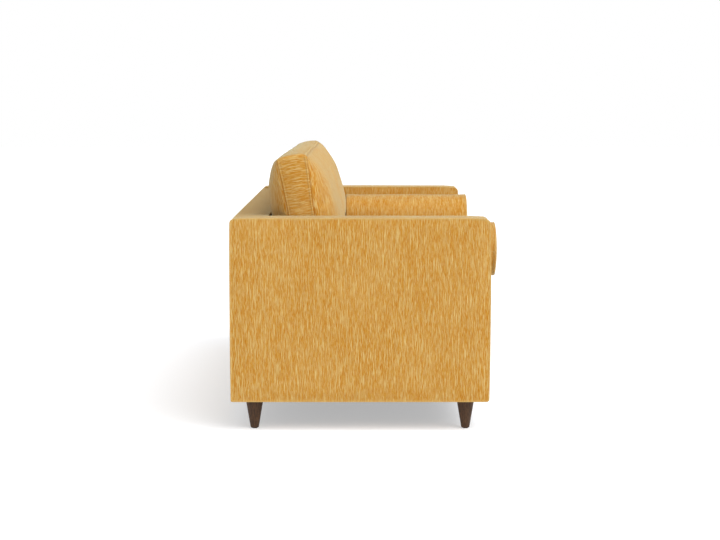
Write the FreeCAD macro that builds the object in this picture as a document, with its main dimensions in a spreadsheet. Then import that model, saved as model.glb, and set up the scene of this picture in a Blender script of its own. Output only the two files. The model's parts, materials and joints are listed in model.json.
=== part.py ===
"""Two-cushion fabric sofa with end bolsters, on four tapered wooden legs.

All lengths are in millimetres.  X runs along the sofa, the front faces -Y, Z is up and the floor is
Z = 0.  "left" and "right" are as seen from the front, so left is the -X end.
"""

import FreeCAD
import Part
import Sketcher
import math
import os
import re

os.makedirs("parts", exist_ok=True)
doc = FreeCAD.newDocument("Sofa")
sheet = doc.addObject("Spreadsheet::Sheet", "Sizes")

DRIVING = [
    # whole sofa
    ("overall_width", 2134, "outer face of one arm to outer face of the other"),
    ("body_depth", 850, "front face of an arm to its rear face"),
    ("arm_height", 704, "floor to the top of an arm"),
    ("ground_clearance", 100, "floor to the underside of the upholstered body"),
    ("seat_height", 495, "floor to the crown of a seat cushion"),
    # upholstery
    ("arm_thickness", 130, "across one arm"),
    ("back_thickness", 116, "front face of the back frame to the rear of the arms"),
    ("back_drop", 4, "top of the back below the top of the arms"),
    ("back_inset", 5, "rear face of the back inside the rear face of the arms"),
    ("border_recess", 6, "front border behind the front face of the arms"),
    ("cloth", 2, "cover fabric with its interlining"),
    ("padding", 10, "fibre padding under the covers"),
    ("thin_padding", 8, "fibre padding on the top and rear of the back"),
    ("fold_under", 25, "cover turned under the frame and stapled"),
    ("front_corner_radius", 22, "top front corner of an arm"),
    ("rear_corner_radius", 14, "top rear corner of an arm, and both top edges of the back"),
    ("foot_corner_radius", 8, "bottom corners of an arm"),
    ("seam_edge_radius", 6, "long edges of an arm, along the seams"),
    # frame
    ("board", 22, "thickness of the frame boards"),
    ("arm_board", 25, "thickness of the top and bottom board of an arm"),
    ("arm_panel", 5, "thickness of the plywood sides of an arm"),
    ("stud_width", 45, "arm post, across the arm"),
    ("stud_depth", 50, "arm post, front to back"),
    ("rail_top", 320, "floor to the top of the seat rails"),
    ("block_height", 200, "height of the corner blocks and the stretcher"),
    ("block_depth", 60, "corner block, along the side rail"),
    ("back_panel_thickness", 3, "board closing the rear of the back"),
    ("middle_post_offset", 320, "centre of a middle back post from the middle of the sofa"),
    # suspension
    ("spring_wire", 4, "wire of the sinuous springs"),
    ("spring_margin", 87, "centre of an end spring from the side rail"),
    ("tie_overhang", 30, "tie wire past the centre of an end spring"),
    ("spring_setback", 11, "end of a spring from the outer face of its rail"),
    ("clip_wall", 1.2, "sheet of the spring clips"),
    ("clip_play", 0.2, "height to spare round the wire in a clip"),
    ("clip_width", 20, "clip, along the rail"),
    ("clip_depth", 13, "clip, across the rail"),
    ("tie_wire", 2, "wire tying the springs to one another"),
    ("webbing_width", 70, "back webbing strap"),
    ("webbing_pitch", 100, "from one strap to the next"),
    ("border_return", 72, "front border turned back over the seat deck"),
    ("deck_height", 342, "floor to the top of the seat deck"),
    # loose cushions
    ("cushion_gap", 3, "space beside and between the cushions"),
    ("rest_gap", 1, "space under a loose cushion"),
    ("seat_crown", 8, "rise of a seat cushion above its boxing"),
    ("seat_corner_radius", 20, "upright corners of a seat cushion"),
    ("seat_cushion_recess", 4, "front of a seat cushion behind the front of the arms"),
    ("back_cushion_height", 398, "boxing of a back cushion, bottom to top"),
    ("back_cushion_boxing", 90, "width of the boxing of a back cushion"),
    ("back_cushion_front_crown", 74.5, "swell of the front panel"),
    ("back_cushion_rear_crown", 66, "swell of the rear panel"),
    ("back_cushion_top_crown", 11, "swell of the top boxing"),
    ("back_cushion_shoulder", 110, "distance over which the swell fades out at each side"),
    ("back_cushion_lean", 9, "degrees from upright"),
    ("back_cushion_setback", 146, "front face of the back frame to the foot of a back cushion"),
    ("bolster_diameter", 182, "across a bolster"),
    ("bolster_length", 527, "over both domed ends"),
    ("bolster_dome", 9, "rise of each domed end"),
    ("bolster_proud", 36, "bolster end in front of the arms"),
    # legs
    ("leg_inset", 74, "axis of a leg from the front, rear and outer faces"),
    ("leg_top_diameter", 60.5, "leg at the frame"),
    ("leg_foot_diameter", 28.5, "leg at its rounded foot"),
    ("leg_foot_rounding", 4, "rounding of the foot"),
    ("glide_diameter", 18, "nylon glide under each leg"),
    ("glide_height", 2, "thickness of a glide"),
    # fasteners and underside
    ("bolt_diameter", 8, "leg bolts and arm bolts"),
    ("bolt_clearance", 0.4, "on the diameter of every bolt hole"),
    ("bolt_head_diameter", 16, "arm bolt head"),
    ("bolt_head_height", 6, "arm bolt head"),
    ("arm_bolt_length", 80, "arm bolt under its head"),
    ("arm_bolt_low", 180, "floor to the lower arm bolts"),
    ("arm_bolt_high", 260, "floor to the upper arm bolts"),
    ("arm_bolt_front", 10, "front arm bolt behind the front rail"),
    ("arm_bolt_rear", 24, "rear arm bolt in front of the rear of the frame"),
    ("leg_bolt_bite", 40, "leg bolt inside a leg"),
    ("leg_bolt_rise", 8, "leg bolt above the board it is screwed to"),
    ("tee_nut_flange", 22, "flange diameter of a tee nut"),
    ("tee_nut_barrel", 11, "barrel diameter of a tee nut"),
    ("tee_nut_sheet", 2, "flange thickness of a tee nut"),
    ("tee_nut_length", 18, "barrel length of a tee nut"),
    ("dust_inset", 20, "edge of the dust cover inside the body"),
    ("dust_sheet", 1, "dust cover thickness"),
    ("dust_hole_clearance", 3, "on the diameter, round each leg"),
]
DERIVED = [
    # the bolsters reach furthest forward, and the whole sofa is centred on Y = 0
    ("half_width", "overall_width / 2"),
    ("rear_y", "(body_depth + bolster_proud) / 2"),
    ("front_y", "rear_y - body_depth"),
    ("arm_inner", "half_width - arm_thickness"),
    ("wrap", "cloth + padding"),
    ("floor_z", "ground_clearance + cloth"),
    ("core_outer", "half_width - wrap"),
    ("core_inner", "arm_inner + wrap"),
    ("core_front", "front_y + wrap"),
    ("core_rear", "rear_y - wrap"),
    ("core_top", "arm_height - wrap"),
    ("border_face", "front_y + border_recess"),
    ("rail_front", "border_face + wrap"),
    ("rail_inner", "core_inner - board"),
    ("back_face", "rear_y - back_thickness"),
    ("back_rear", "rear_y - back_inset"),
    ("strap_face", "back_face + wrap"),
    ("post_front", "strap_face + cloth"),
    ("post_rear", "back_rear - cloth - thin_padding"),
    ("post_top", "back_top - cloth - thin_padding - board"),
    ("back_top", "arm_height - back_drop"),
    ("spring_reach", "rail_inner - spring_margin"),
    ("clip_top", "rail_top + spring_wire + clip_play + 2 * clip_wall"),
    ("cushion_width", "arm_inner - 1.5 * cushion_gap"),
    ("cushion_inner", "cushion_gap / 2"),
    ("cushion_outer", "cushion_inner + cushion_width"),
    ("leg_x", "half_width - leg_inset"),
    ("front_leg_y", "front_y + leg_inset"),
    ("rear_leg_y", "rear_y - leg_inset"),
    ("bolt_hole", "bolt_diameter + bolt_clearance"),
]
NAMES = {row[0] for row in DRIVING + DERIVED}


def formula(text):
    """Return an expression with every size name pointing at the sheet."""
    return re.sub(r"[a-z][a-z_]+", lambda word: "Sizes." + word[0] if word[0] in NAMES else word[0], str(text))


def value(text):
    """Return the number an expression has now."""
    result = sheet.evalExpression(formula(text))
    return float(getattr(result, "Value", result))


for row, (alias, number, note) in enumerate(DRIVING, start=1):
    sheet.set(f"A{row}", note)
    sheet.set(f"B{row}", str(number))
    sheet.setAlias(f"B{row}", alias)
for row, (alias, rule) in enumerate(DERIVED, start=len(DRIVING) + 1):
    sheet.set(f"A{row}", rule)
    sheet.setAlias(f"B{row}", alias)
    sheet.set(f"B{row}", "=" + rule)
doc.recompute()

SIDES = {"left": -1, "right": 1}
nodes = {}


# ------------------------------------------------------------------ helpers
def reach(side, near, far):
    """Return the X span between two distances from the middle, on one side of the sofa."""
    return (f"-({far})", f"-({near})") if side < 0 else (near, far)


def across(half):
    """Return an X span centred on the middle of the sofa."""
    return f"-({half})", half


def place(item, x=0, y=0, z=0):
    """Tie an object's position to the sheet."""
    for axis, text in zip("xyz", (x, y, z)):
        item.setExpression(f"Placement.Base.{axis}", formula(text))


def block(name, x, y, z):
    """Add a box from three (low, high) spans."""
    item = doc.addObject("Part::Box", name)
    for size, (low, high) in zip(("Length", "Width", "Height"), (x, y, z)):
        item.setExpression(size, formula(f"({high}) - ({low})"))
    place(item, x[0], y[0], z[0])
    return item


def rod(name, diameter, length, x, y, z, along="z"):
    """Add a cylinder that starts at a point and runs along +X, -X, +Y or +Z."""
    turns = {"z": (0, 0, 1, 0), "x": (0, 1, 0, 90), "-x": (0, 1, 0, -90), "y": (1, 0, 0, -90)}
    item = doc.addObject("Part::Cylinder", name)
    ax, ay, az, angle = turns[along]
    item.Placement = FreeCAD.Placement(
        FreeCAD.Vector(), FreeCAD.Rotation(FreeCAD.Vector(ax, ay, az), angle)
    )
    item.setExpression("Radius", formula(f"({diameter}) / 2"))
    item.setExpression("Height", formula(length))
    place(item, x, y, z)
    return item


def together(name, items):
    """Keep separate solids in one object."""
    item = doc.addObject("Part::Compound", name)
    item.Links = items
    return item


def minus(name, base, tools):
    """Cut tools out of a solid, one after another."""
    for number, tool in enumerate(tools, start=1):
        item = doc.addObject("Part::Cut", name if number == len(tools) else f"{name}_cut{number}")
        item.Base, item.Tool = base, tool
        base = item
    return base


def node(name, item):
    """Name an object as one exported piece of the sofa."""
    item.Label = name
    nodes[name] = item
    return item


def outline(body, plane, corners):
    """Draw a closed outline, anticlockwise; a corner's third value bows the side that follows it."""
    sketch = body.newObject("Sketcher::SketchObject", body.Name + "_outline")
    origin = [part for part in body.Origin.OriginFeatures if part.Role == plane + "_Plane"][0]
    sketch.AttachmentSupport = [(origin, "")]
    sketch.MapMode = "FlatFace"
    spots = [FreeCAD.Vector(value(corner[0]), value(corner[1]), 0) for corner in corners]
    for index, corner in enumerate(corners):
        start, end = spots[index], spots[(index + 1) % len(spots)]
        if len(corner) == 2:
            sketch.addGeometry(Part.LineSegment(start, end), False)
            continue
        chord, rise = end - start, value(corner[2])
        radius = (chord.Length**2 / 4 + rise**2) / (2 * rise)
        inward = FreeCAD.Vector(-chord.y, chord.x, 0) / chord.Length
        centre = (start + end) / 2 + inward * (radius - rise)
        angles = [math.atan2(spot.y - centre.y, spot.x - centre.x) for spot in (start, end)]
        circle = Part.Circle(centre, FreeCAD.Vector(0, 0, 1), radius)
        sketch.addGeometry(Part.ArcOfCircle(circle, *angles), False)
    for index, corner in enumerate(corners):
        following = (index + 1) % len(corners)
        sketch.addConstraint(Sketcher.Constraint("Coincident", index, 2, following, 1))
        for kind, text in zip(("DistanceX", "DistanceY"), corner):
            label = f"{kind}{index}"
            spot = sketch.addConstraint(Sketcher.Constraint(kind, -1, 1, index, 1, value(text)))
            sketch.renameConstraint(spot, label)
            sketch.setExpression("Constraints." + label, formula(text))
        if len(corner) == 3:
            here, there = corner, corners[following]
            square = f"(({there[0]}) - ({here[0]}))^2 + (({there[1]}) - ({here[1]}))^2"
            radius = f"(({square}) / 4 + ({here[2]})^2) / (2 * ({here[2]}))"
            spot = sketch.addConstraint(Sketcher.Constraint("Radius", index, value(radius)))
            sketch.renameConstraint(spot, f"Bow{index}")
            sketch.setExpression(f"Constraints.Bow{index}", formula(radius))
    return sketch


def extrusion(name, plane, corners, length):
    """Pad an outline along the normal of its plane."""
    body = doc.addObject("PartDesign::Body", name)
    sketch = outline(body, plane, corners)
    pad = body.newObject("PartDesign::Pad", name + "_pad")
    pad.Profile = sketch
    pad.setExpression("Length", formula(length))
    doc.recompute()
    return body


def turned(name, plane, corners, axis):
    """Revolve an outline round an axis of its sketch."""
    body = doc.addObject("PartDesign::Body", name)
    sketch = outline(body, plane, corners)
    spin = body.newObject("PartDesign::Revolution", name + "_spin")
    spin.Profile = sketch
    spin.ReferenceAxis = (sketch, [axis])
    spin.Angle = 360
    doc.recompute()
    return body


def rounded(body, radius, chosen):
    """Fillet the edges of a body that pass a test on their bounding box."""
    base = body.Tip
    names = [f"Edge{n}" for n, edge in enumerate(base.Shape.Edges, start=1) if chosen(edge.BoundBox)]
    fillet = body.newObject("PartDesign::Fillet", f"{body.Name}_round{len(body.Group)}")
    fillet.Base = (base, names)
    fillet.setExpression("Radius", formula(radius))
    body.Tip = fillet
    doc.recompute()
    return body


def near(one, other):
    """Tell whether two lengths are the same."""
    return abs(one - other) < 0.01


# ------------------------------------------------------------------ arms
def arm_block(name, side, inset):
    """Add the rounded block of an arm, drawn in by an even inset."""
    y_low, y_high = f"front_y + {inset}", f"rear_y - {inset}"
    z_low, z_high = f"ground_clearance + {inset}", f"arm_height - {inset}"
    corners = [(y_low, z_low), (y_high, z_low), (y_high, z_high), (y_low, z_high)]
    body = extrusion(name, "YZ", corners, f"arm_thickness - 2 * {inset}")
    depth_low, depth_high = value(y_low), value(y_high)
    foot, head = value(z_low), value(z_high)
    rounded(
        body,
        f"front_corner_radius - {inset}",
        lambda b: b.XLength > 1 and near(b.YMin, depth_low) and near(b.ZMin, head),
    )
    rounded(
        body,
        f"rear_corner_radius - {inset}",
        lambda b: b.XLength > 1 and near(b.YMin, depth_high) and near(b.ZMin, head),
    )
    rounded(body, f"foot_corner_radius - {inset}", lambda b: b.XLength > 1 and near(b.ZMax, foot))
    rounded(body, f"seam_edge_radius - {inset}", lambda b: b.XLength < 0.01)
    place(body, f"-half_width + {inset}" if side < 0 else f"arm_inner + {inset}")
    return body


def bolt_holes(name, side):
    """Add the rods that bore the arm bolt holes of one side."""
    return together(
        name,
        [
            rod(
                f"{name}_{where}_{level}",
                "bolt_hole",
                "arm_thickness",
                f"-({start})" if side < 0 else start,
                y,
                f"arm_bolt_{level}",
                "-x" if side < 0 else "x",
            )
            for where, y in (("front", front_bolt_y), ("rear", rear_bolt_y))
            for level in ("low", "high")
        ],
    )


front_bolt_y = "rail_front + board + arm_bolt_front"
rear_bolt_y = "post_rear - arm_bolt_rear"
start = "rail_inner - board"
leg_spots = {
    f"{end}_{name}": (f"-leg_x" if side < 0 else "leg_x", y)
    for end, y in (("front", "front_leg_y"), ("rear", "rear_leg_y"))
    for name, side in SIDES.items()
}

for name, side in SIDES.items():
    cavity = block(
        f"{name}_arm_cavity",
        reach(side, "core_inner", "core_outer"),
        ("core_front", "core_rear"),
        ("floor_z", "core_top"),
    )
    doorway = block(
        f"{name}_arm_doorway",
        reach(side, "arm_inner - 1", "core_inner"),
        ("rail_front", "core_rear"),
        ("ground_clearance - 1", "rail_top"),
    )
    underside = block(
        f"{name}_arm_underside",
        reach(side, "arm_inner - 1", "half_width - fold_under"),
        ("front_y + fold_under", "rear_y - fold_under"),
        ("ground_clearance - 1", "floor_z"),
    )
    skin = arm_block(f"{name}_arm_skin", side, "0")
    lining = arm_block(f"{name}_arm_lining", side, "cloth")
    node(f"{name}_arm_cover", minus(f"{name}_arm_cover", skin, [lining, doorway, underside]))
    node(f"{name}_arm_padding", minus(f"{name}_arm_padding", lining, [cavity, doorway]))

    inner_face = "core_inner + arm_panel"
    outer_face = "core_outer - arm_panel"
    board_x = reach(side, inner_face, outer_face)
    frame_y = ("core_front", "core_rear")
    bottom = block(f"{name}_arm_bottom", board_x, frame_y, ("floor_z", "floor_z + arm_board"))
    bores = [
        rod(f"{name}_{end}_barrel", "tee_nut_barrel + bolt_clearance", "arm_board", *spot, "floor_z")
        for end, spot in leg_spots.items()
        if end.endswith(name)
    ]
    node(f"{name}_arm_bottom_board", minus(f"{name}_arm_bottom_board", bottom, bores))
    top_z = ("core_top - arm_board", "core_top")
    node(f"{name}_arm_top_board", block(f"{name}_arm_top_board", board_x, frame_y, top_z))
    outer_x = reach(side, outer_face, "core_outer")
    full_z = ("floor_z", "core_top")
    node(f"{name}_arm_outer_panel", block(f"{name}_arm_outer_panel", outer_x, frame_y, full_z))
    holes = bolt_holes(f"{name}_bolt_holes", side)
    inner = block(f"{name}_arm_inner", reach(side, "core_inner", inner_face), frame_y, full_z)
    node(f"{name}_arm_inner_panel", minus(f"{name}_arm_inner_panel", inner, [holes]))
    stud_x = reach(side, inner_face, f"{inner_face} + stud_width")
    stud_z = ("floor_z + arm_board", "core_top - arm_board")
    studs = together(
        f"{name}_arm_studs",
        [
            block(f"{name}_front_stud", stud_x, ("core_front", "core_front + stud_depth"), stud_z),
            block(f"{name}_rear_stud", stud_x, ("core_rear - stud_depth", "core_rear"), stud_z),
        ],
    )
    node(f"{name}_arm_posts", minus(f"{name}_arm_posts", studs, [holes]))
    rail = block(
        f"{name}_side_board",
        reach(side, "rail_inner", "core_inner"),
        ("rail_front + board", "post_rear"),
        ("floor_z", "rail_top"),
    )
    node(f"{name}_side_rail", minus(f"{name}_side_rail", rail, [holes]))

# ------------------------------------------------------------------ seat frame
rail_z = ("floor_z", "rail_top")
low_z = ("floor_z", "floor_z + block_height")
rear_rail_y = ("post_front - board", "post_front")
node("front_rail", block("front_rail", across("core_inner"), ("rail_front", "rail_front + board"), rail_z))
node("rear_rail", block("rear_rail", across("rail_inner"), rear_rail_y, rail_z))
node(
    "center_stretcher",
    block("center_stretcher", across("board / 2"), ("rail_front + board", "post_front - board"), low_z),
)
all_holes = together("all_bolt_holes", [doc.getObject(f"{name}_bolt_holes") for name in SIDES])
blocks = together(
    "loose_blocks",
    [
        block(f"{name}_{end}_block", reach(side, "rail_inner - board", "rail_inner"), y, low_z)
        for name, side in SIDES.items()
        for end, y in (
            ("front", ("rail_front + board", "rail_front + board + block_depth")),
            ("rear", ("post_front - board - block_depth", "post_front - board")),
        )
    ],
)
node("corner_blocks", minus("corner_blocks", blocks, [all_holes]))

# ------------------------------------------------------------------ back frame
post_y = ("post_front", "post_rear - back_panel_thickness")
posts = []
for name, side in SIDES.items():
    spots = (("end", "rail_inner - board"), ("middle", "middle_post_offset - board / 2"))
    for where, x in spots:
        span = reach(side, x, f"{x} + board")
        posts.append(block(f"{name}_{where}_post", span, post_y, ("floor_z", "post_top")))
node("back_posts", minus("back_posts", together("loose_posts", posts), [all_holes]))
node(
    "back_top_rail",
    block(
        "back_top_rail", across("rail_inner"), ("post_front", "post_rear"), ("post_top", "post_top + board")
    ),
)
node(
    "back_panel",
    block(
        "back_panel",
        across("rail_inner"),
        ("post_rear - back_panel_thickness", "post_rear"),
        ("floor_z", "post_top"),
    ),
)
node(
    "back_webbing",
    together(
        "back_webbing",
        [
            block(
                f"strap{level}",
                across("rail_inner"),
                ("strap_face", "post_front"),
                (
                    f"rail_top + webbing_pitch * {level + 0.5} - webbing_width / 2",
                    f"rail_top + webbing_pitch * {level + 0.5} + webbing_width / 2",
                ),
            )
            for level in range(3)
        ],
    ),
)


def back_wrap(name, corners, outer_radius, inner_radius):
    """Add a layer bent over the top of the back, between the arms."""
    body = extrusion(name, "YZ", corners, "2 * arm_inner")
    radii = ((outer_radius, max), (inner_radius, min))
    heights = sorted({round(value(corner[1]), 3) for corner in corners})[-2:]
    for radius, pick in radii:
        if radius:
            level = pick(heights)
            rounded(body, radius, lambda b, level=level: b.XLength > 1 and near(b.ZMin, level))
    place(body, "-arm_inner")
    return body


node(
    "back_cover",
    back_wrap(
        "back_cover",
        [
            ("back_rear - fold_under", "ground_clearance"),
            ("back_rear", "ground_clearance"),
            ("back_rear", "back_top"),
            ("back_face", "back_top"),
            ("back_face", "clip_top"),
            ("back_face + cloth", "clip_top"),
            ("back_face + cloth", "back_top - cloth"),
            ("back_rear - cloth", "back_top - cloth"),
            ("back_rear - cloth", "floor_z"),
            ("back_rear - fold_under", "floor_z"),
        ],
        "rear_corner_radius",
        "rear_corner_radius - cloth",
    ),
)
node(
    "back_padding",
    back_wrap(
        "back_padding",
        [
            ("post_rear", "floor_z"),
            ("back_rear - cloth", "floor_z"),
            ("back_rear - cloth", "back_top - cloth"),
            ("back_face + cloth", "back_top - cloth"),
            ("back_face + cloth", "clip_top"),
            ("strap_face", "clip_top"),
            ("strap_face", "post_top + board"),
            ("post_rear", "post_top + board"),
        ],
        "rear_corner_radius - cloth",
        None,
    ),
)

# ------------------------------------------------------------------ suspension and deck
spring_front = "rail_front + spring_setback"
spring_rear = "post_front - spring_setback"
spring_z = "rail_top + clip_wall + clip_play / 2 + spring_wire / 2"
TURNS = 17
SPRINGS = 8


def sinuous_spring(name, x):
    """Add one spring: a wire of half circles that swing to one side and then the other."""
    front, rear, height = value(spring_front), value(spring_rear), value(spring_z)
    step = (rear - front) / TURNS
    arcs = []
    for turn in range(TURNS):
        y, swing = front + turn * step, step / 2 * (-1) ** turn
        spots = ((0, y), (swing, y + step / 2), (0, y + step))
        arcs.append(Part.Arc(*[FreeCAD.Vector(a, b, height) for a, b in spots]).toShape())
    circle = Part.Circle(
        FreeCAD.Vector(0, front, height), FreeCAD.Vector(1, 0, 0), value("spring_wire / 2")
    )
    item = doc.addObject("Part::Feature", name)
    item.Shape = Part.Wire(arcs).makePipeShell([Part.Wire([circle.toShape()])], True, False)
    place(item, x)
    return item


def spring_clip(name, x, y):
    """Add a sheet clip, open at both sides, that holds the end of a spring."""
    half = "clip_width / 2"
    outer = block(
        name + "_sheet",
        (f"{x} - {half}", f"{x} + {half}"),
        (f"{y} - clip_depth / 2", f"{y} + clip_depth / 2"),
        ("rail_top", "clip_top"),
    )
    hollow = block(
        name + "_hollow",
        (f"{x} - {half} - 1", f"{x} + {half} + 1"),
        (f"{y} - clip_depth / 2 + clip_wall", f"{y} + clip_depth / 2 - clip_wall"),
        ("rail_top + clip_wall", "clip_top - clip_wall"),
    )
    return minus(name, outer, [hollow])


spring_x = [f"spring_reach * {2 * number / (SPRINGS - 1) - 1}" for number in range(SPRINGS)]
node("seat_springs", together("seat_springs", [sinuous_spring(f"spring{n}", x) for n, x in enumerate(spring_x)]))
node(
    "spring_clips",
    together(
        "spring_clips",
        [
            spring_clip(f"clip_{end}{n}", x, y)
            for end, y in (("front", spring_front), ("rear", spring_rear))
            for n, x in enumerate(spring_x)
        ],
    ),
)
node(
    "spring_tie_wires",
    together(
        "spring_tie_wires",
        [
            rod(
                f"tie{n}",
                "tie_wire",
                "2 * (spring_reach + tie_overhang)",
                "-(spring_reach + tie_overhang)",
                f"{spring_front} + ({spring_rear} - ({spring_front})) * {share}",
                "rail_top + clip_wall + clip_play / 2 - tie_wire / 2",
                "x",
            )
            for n, share in enumerate((0.3, 0.7))
        ],
    ),
)
deck_front = "border_face + border_return"
deck_cloth_z = ("deck_height - cloth", "deck_height")
node(
    "deck_pad",
    block("deck_pad", across("arm_inner"), (deck_front, "back_face"), ("clip_top", "deck_height - cloth")),
)
node("deck_cloth", block("deck_cloth", across("arm_inner"), (deck_front, "back_face"), deck_cloth_z))
node(
    "front_border_cover",
    extrusion(
        "front_border_cover",
        "YZ",
        [
            ("border_face", "ground_clearance"),
            ("border_face + fold_under", "ground_clearance"),
            ("border_face + fold_under", "floor_z"),
            ("border_face + cloth", "floor_z"),
            ("border_face + cloth", "deck_height - cloth"),
            (deck_front, "deck_height - cloth"),
            (deck_front, "deck_height"),
            ("border_face", "deck_height"),
        ],
        "2 * arm_inner",
    ),
)
place(nodes["front_border_cover"], "-arm_inner")
node(
    "front_border_padding",
    extrusion(
        "front_border_padding",
        "YZ",
        [
            ("border_face + cloth", "floor_z"),
            ("rail_front", "floor_z"),
            ("rail_front", "clip_top"),
            (deck_front, "clip_top"),
            (deck_front, "deck_height - cloth"),
            ("border_face + cloth", "deck_height - cloth"),
        ],
        "2 * arm_inner",
    ),
)
place(nodes["front_border_padding"], "-arm_inner")

# ------------------------------------------------------------------ loose cushions
def shell_and_core(name, build):
    """Make a cushion cover and the filling that exactly fills it."""
    core = build(f"{name}_core", "cloth")
    skin = build(f"{name}_skin", "0")
    node(f"{name}_core", core)
    node(f"{name}_cover", minus(f"{name}_cover", skin, [core]))


def seat_cushion(name, side, inset):
    """Add a boxed seat cushion with a crowned top."""
    y_low = f"front_y + seat_cushion_recess + {inset}"
    y_high = f"back_face - 2 * rest_gap - {inset}"
    z_low = f"deck_height + rest_gap + {inset}"
    z_high = f"seat_height - seat_crown - {inset}"
    corners = [(y_low, z_low), (y_high, z_low), (y_high, z_high, "seat_crown"), (y_low, z_high)]
    body = extrusion(name, "YZ", corners, f"cushion_width - 2 * {inset}")
    rounded(
        body,
        f"seat_corner_radius - {inset}",
        lambda b: b.XLength < 0.01 and b.YLength < 0.01 and b.ZLength > 1,
    )
    place(body, f"-cushion_outer + {inset}" if side < 0 else f"cushion_inner + {inset}")
    return body


def back_cushion(name, side, inset):
    """Add a leaning back cushion: its swell seen from the side, and again from above."""
    low, high = f"-back_cushion_boxing / 2 + {inset}", f"back_cushion_boxing / 2 - {inset}"
    foot, head = f"{inset}", f"back_cushion_height - {inset}"
    seen_from_side = extrusion(
        name + "_side",
        "YZ",
        [
            (low, foot),
            (high, foot, "back_cushion_rear_crown"),
            (high, head, "back_cushion_top_crown"),
            (low, head, "back_cushion_front_crown"),
        ],
        f"cushion_width - 2 * {inset}",
    )
    first, last = "0", f"cushion_width - 2 * {inset}"
    fade_in, fade_out = "back_cushion_shoulder", f"{last} - back_cushion_shoulder"
    front, rear = f"{low} - back_cushion_front_crown", f"{high} + back_cushion_rear_crown"
    seen_from_above = extrusion(
        name + "_above",
        "XY",
        [
            (first, low, "back_cushion_front_crown / 5"),
            (fade_in, front),
            (fade_out, front, "back_cushion_front_crown / 5"),
            (last, low),
            (last, high, "back_cushion_rear_crown / 5"),
            (fade_out, rear),
            (fade_in, rear, "back_cushion_rear_crown / 5"),
            (first, high),
        ],
        "back_cushion_height + 2 * back_cushion_top_crown",
    )
    x = f"-cushion_outer + {inset}" if side < 0 else f"cushion_inner + {inset}"
    y = "back_face - back_cushion_setback"
    z = "seat_height + rest_gap + back_cushion_boxing / 2 * sin(back_cushion_lean)"
    for body in (seen_from_side, seen_from_above):
        body.Placement.Rotation = FreeCAD.Rotation(FreeCAD.Vector(1, 0, 0), -1)
        body.setExpression("Placement.Rotation.Angle", formula("-back_cushion_lean"))
        place(body, x, y, z)
    item = doc.addObject("Part::Common", name)
    item.Base, item.Tool = seen_from_side, seen_from_above
    return item


def bolster(name, side, inset):
    """Add a bolster lying front to back: a cylinder with domed ends."""
    radius, rise = f"(bolster_diameter / 2 - {inset})", "bolster_dome"
    low, high = f"{rise} + {inset}", f"bolster_length - {rise} - {inset}"
    ball = f"(({radius}^2 + {rise}^2) / (2 * {rise}))"
    bow = f"{ball} - sqrt({ball}^2 - ({radius}^2 + {rise}^2) / 4)"
    corners = [("0", f"{low} - {rise}", bow), (radius, low), (radius, high, bow), ("0", f"{high} + {rise}")]
    body = turned(name, "XY", corners, "V_Axis")
    x = "arm_inner - rest_gap - bolster_diameter / 2"
    z = "seat_height + rest_gap + bolster_diameter / 2"
    place(body, f"-({x})" if side < 0 else x, "front_y - bolster_proud", z)
    return body


for name, side in SIDES.items():
    shell_and_core(f"{name}_seat_cushion", lambda label, inset: seat_cushion(label, side, inset))
    shell_and_core(f"{name}_back_cushion", lambda label, inset: back_cushion(label, side, inset))
    shell_and_core(f"{name}_bolster", lambda label, inset: bolster(label, side, inset))

# ------------------------------------------------------------------ legs and underside
leg_holes = []
leg_bolts, tee_nuts, glides = [], [], []
for spot_name, (x, y) in leg_spots.items():
    leg = turned(
        f"{spot_name}_turning",
        "XZ",
        [
            ("0", "glide_height"),
            ("leg_foot_diameter / 2 - leg_foot_rounding", "glide_height", "leg_foot_rounding * 0.28"),
            ("leg_foot_diameter / 2", "glide_height + leg_foot_rounding"),
            ("leg_top_diameter / 2", "floor_z"),
            ("0", "floor_z"),
        ],
        "V_Axis",
    )
    place(leg, x, y)
    bore = rod(f"{spot_name}_bore", "bolt_hole", "leg_bolt_bite", x, y, "floor_z - leg_bolt_bite")
    leg_name = "leg_" + spot_name
    node(leg_name, minus(leg_name, leg, [bore]))
    leg_bolts.append(
        rod(
            f"{spot_name}_bolt",
            "bolt_diameter",
            "leg_bolt_bite + arm_board + leg_bolt_rise",
            x,
            y,
            "floor_z - leg_bolt_bite",
        )
    )
    flange = rod(f"{spot_name}_flange", "tee_nut_flange", "tee_nut_sheet", x, y, "floor_z + arm_board")
    barrel = rod(
        f"{spot_name}_tee_barrel", "tee_nut_barrel", "tee_nut_length", x, y, "floor_z + arm_board - tee_nut_length"
    )
    nut = doc.addObject("Part::Fuse", f"{spot_name}_tee")
    nut.Base, nut.Tool = flange, barrel
    thread = rod(f"{spot_name}_thread", "bolt_hole", "2 * arm_board", x, y, "floor_z")
    tee_nuts.append(minus(f"{spot_name}_tee_nut", nut, [thread]))
    glides.append(rod(f"{spot_name}_glide", "glide_diameter", "glide_height", x, y, "0"))
    leg_holes.append(
        rod(
            f"{spot_name}_hole",
            "leg_top_diameter + dust_hole_clearance",
            "2 * dust_sheet",
            x,
            y,
            "ground_clearance - 1.5 * dust_sheet",
        )
    )
node("leg_bolts", together("leg_bolts", leg_bolts))
node("tee_nuts", together("tee_nuts", tee_nuts))
node("glides", together("glides", glides))
sheet_x, sheet_y = across("half_width - dust_inset"), ("front_y + dust_inset", "rear_y - dust_inset")
dust = block("dust_sheet_blank", sheet_x, sheet_y, ("ground_clearance - dust_sheet", "ground_clearance"))
node("dust_cover", minus("dust_cover", dust, leg_holes))

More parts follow.
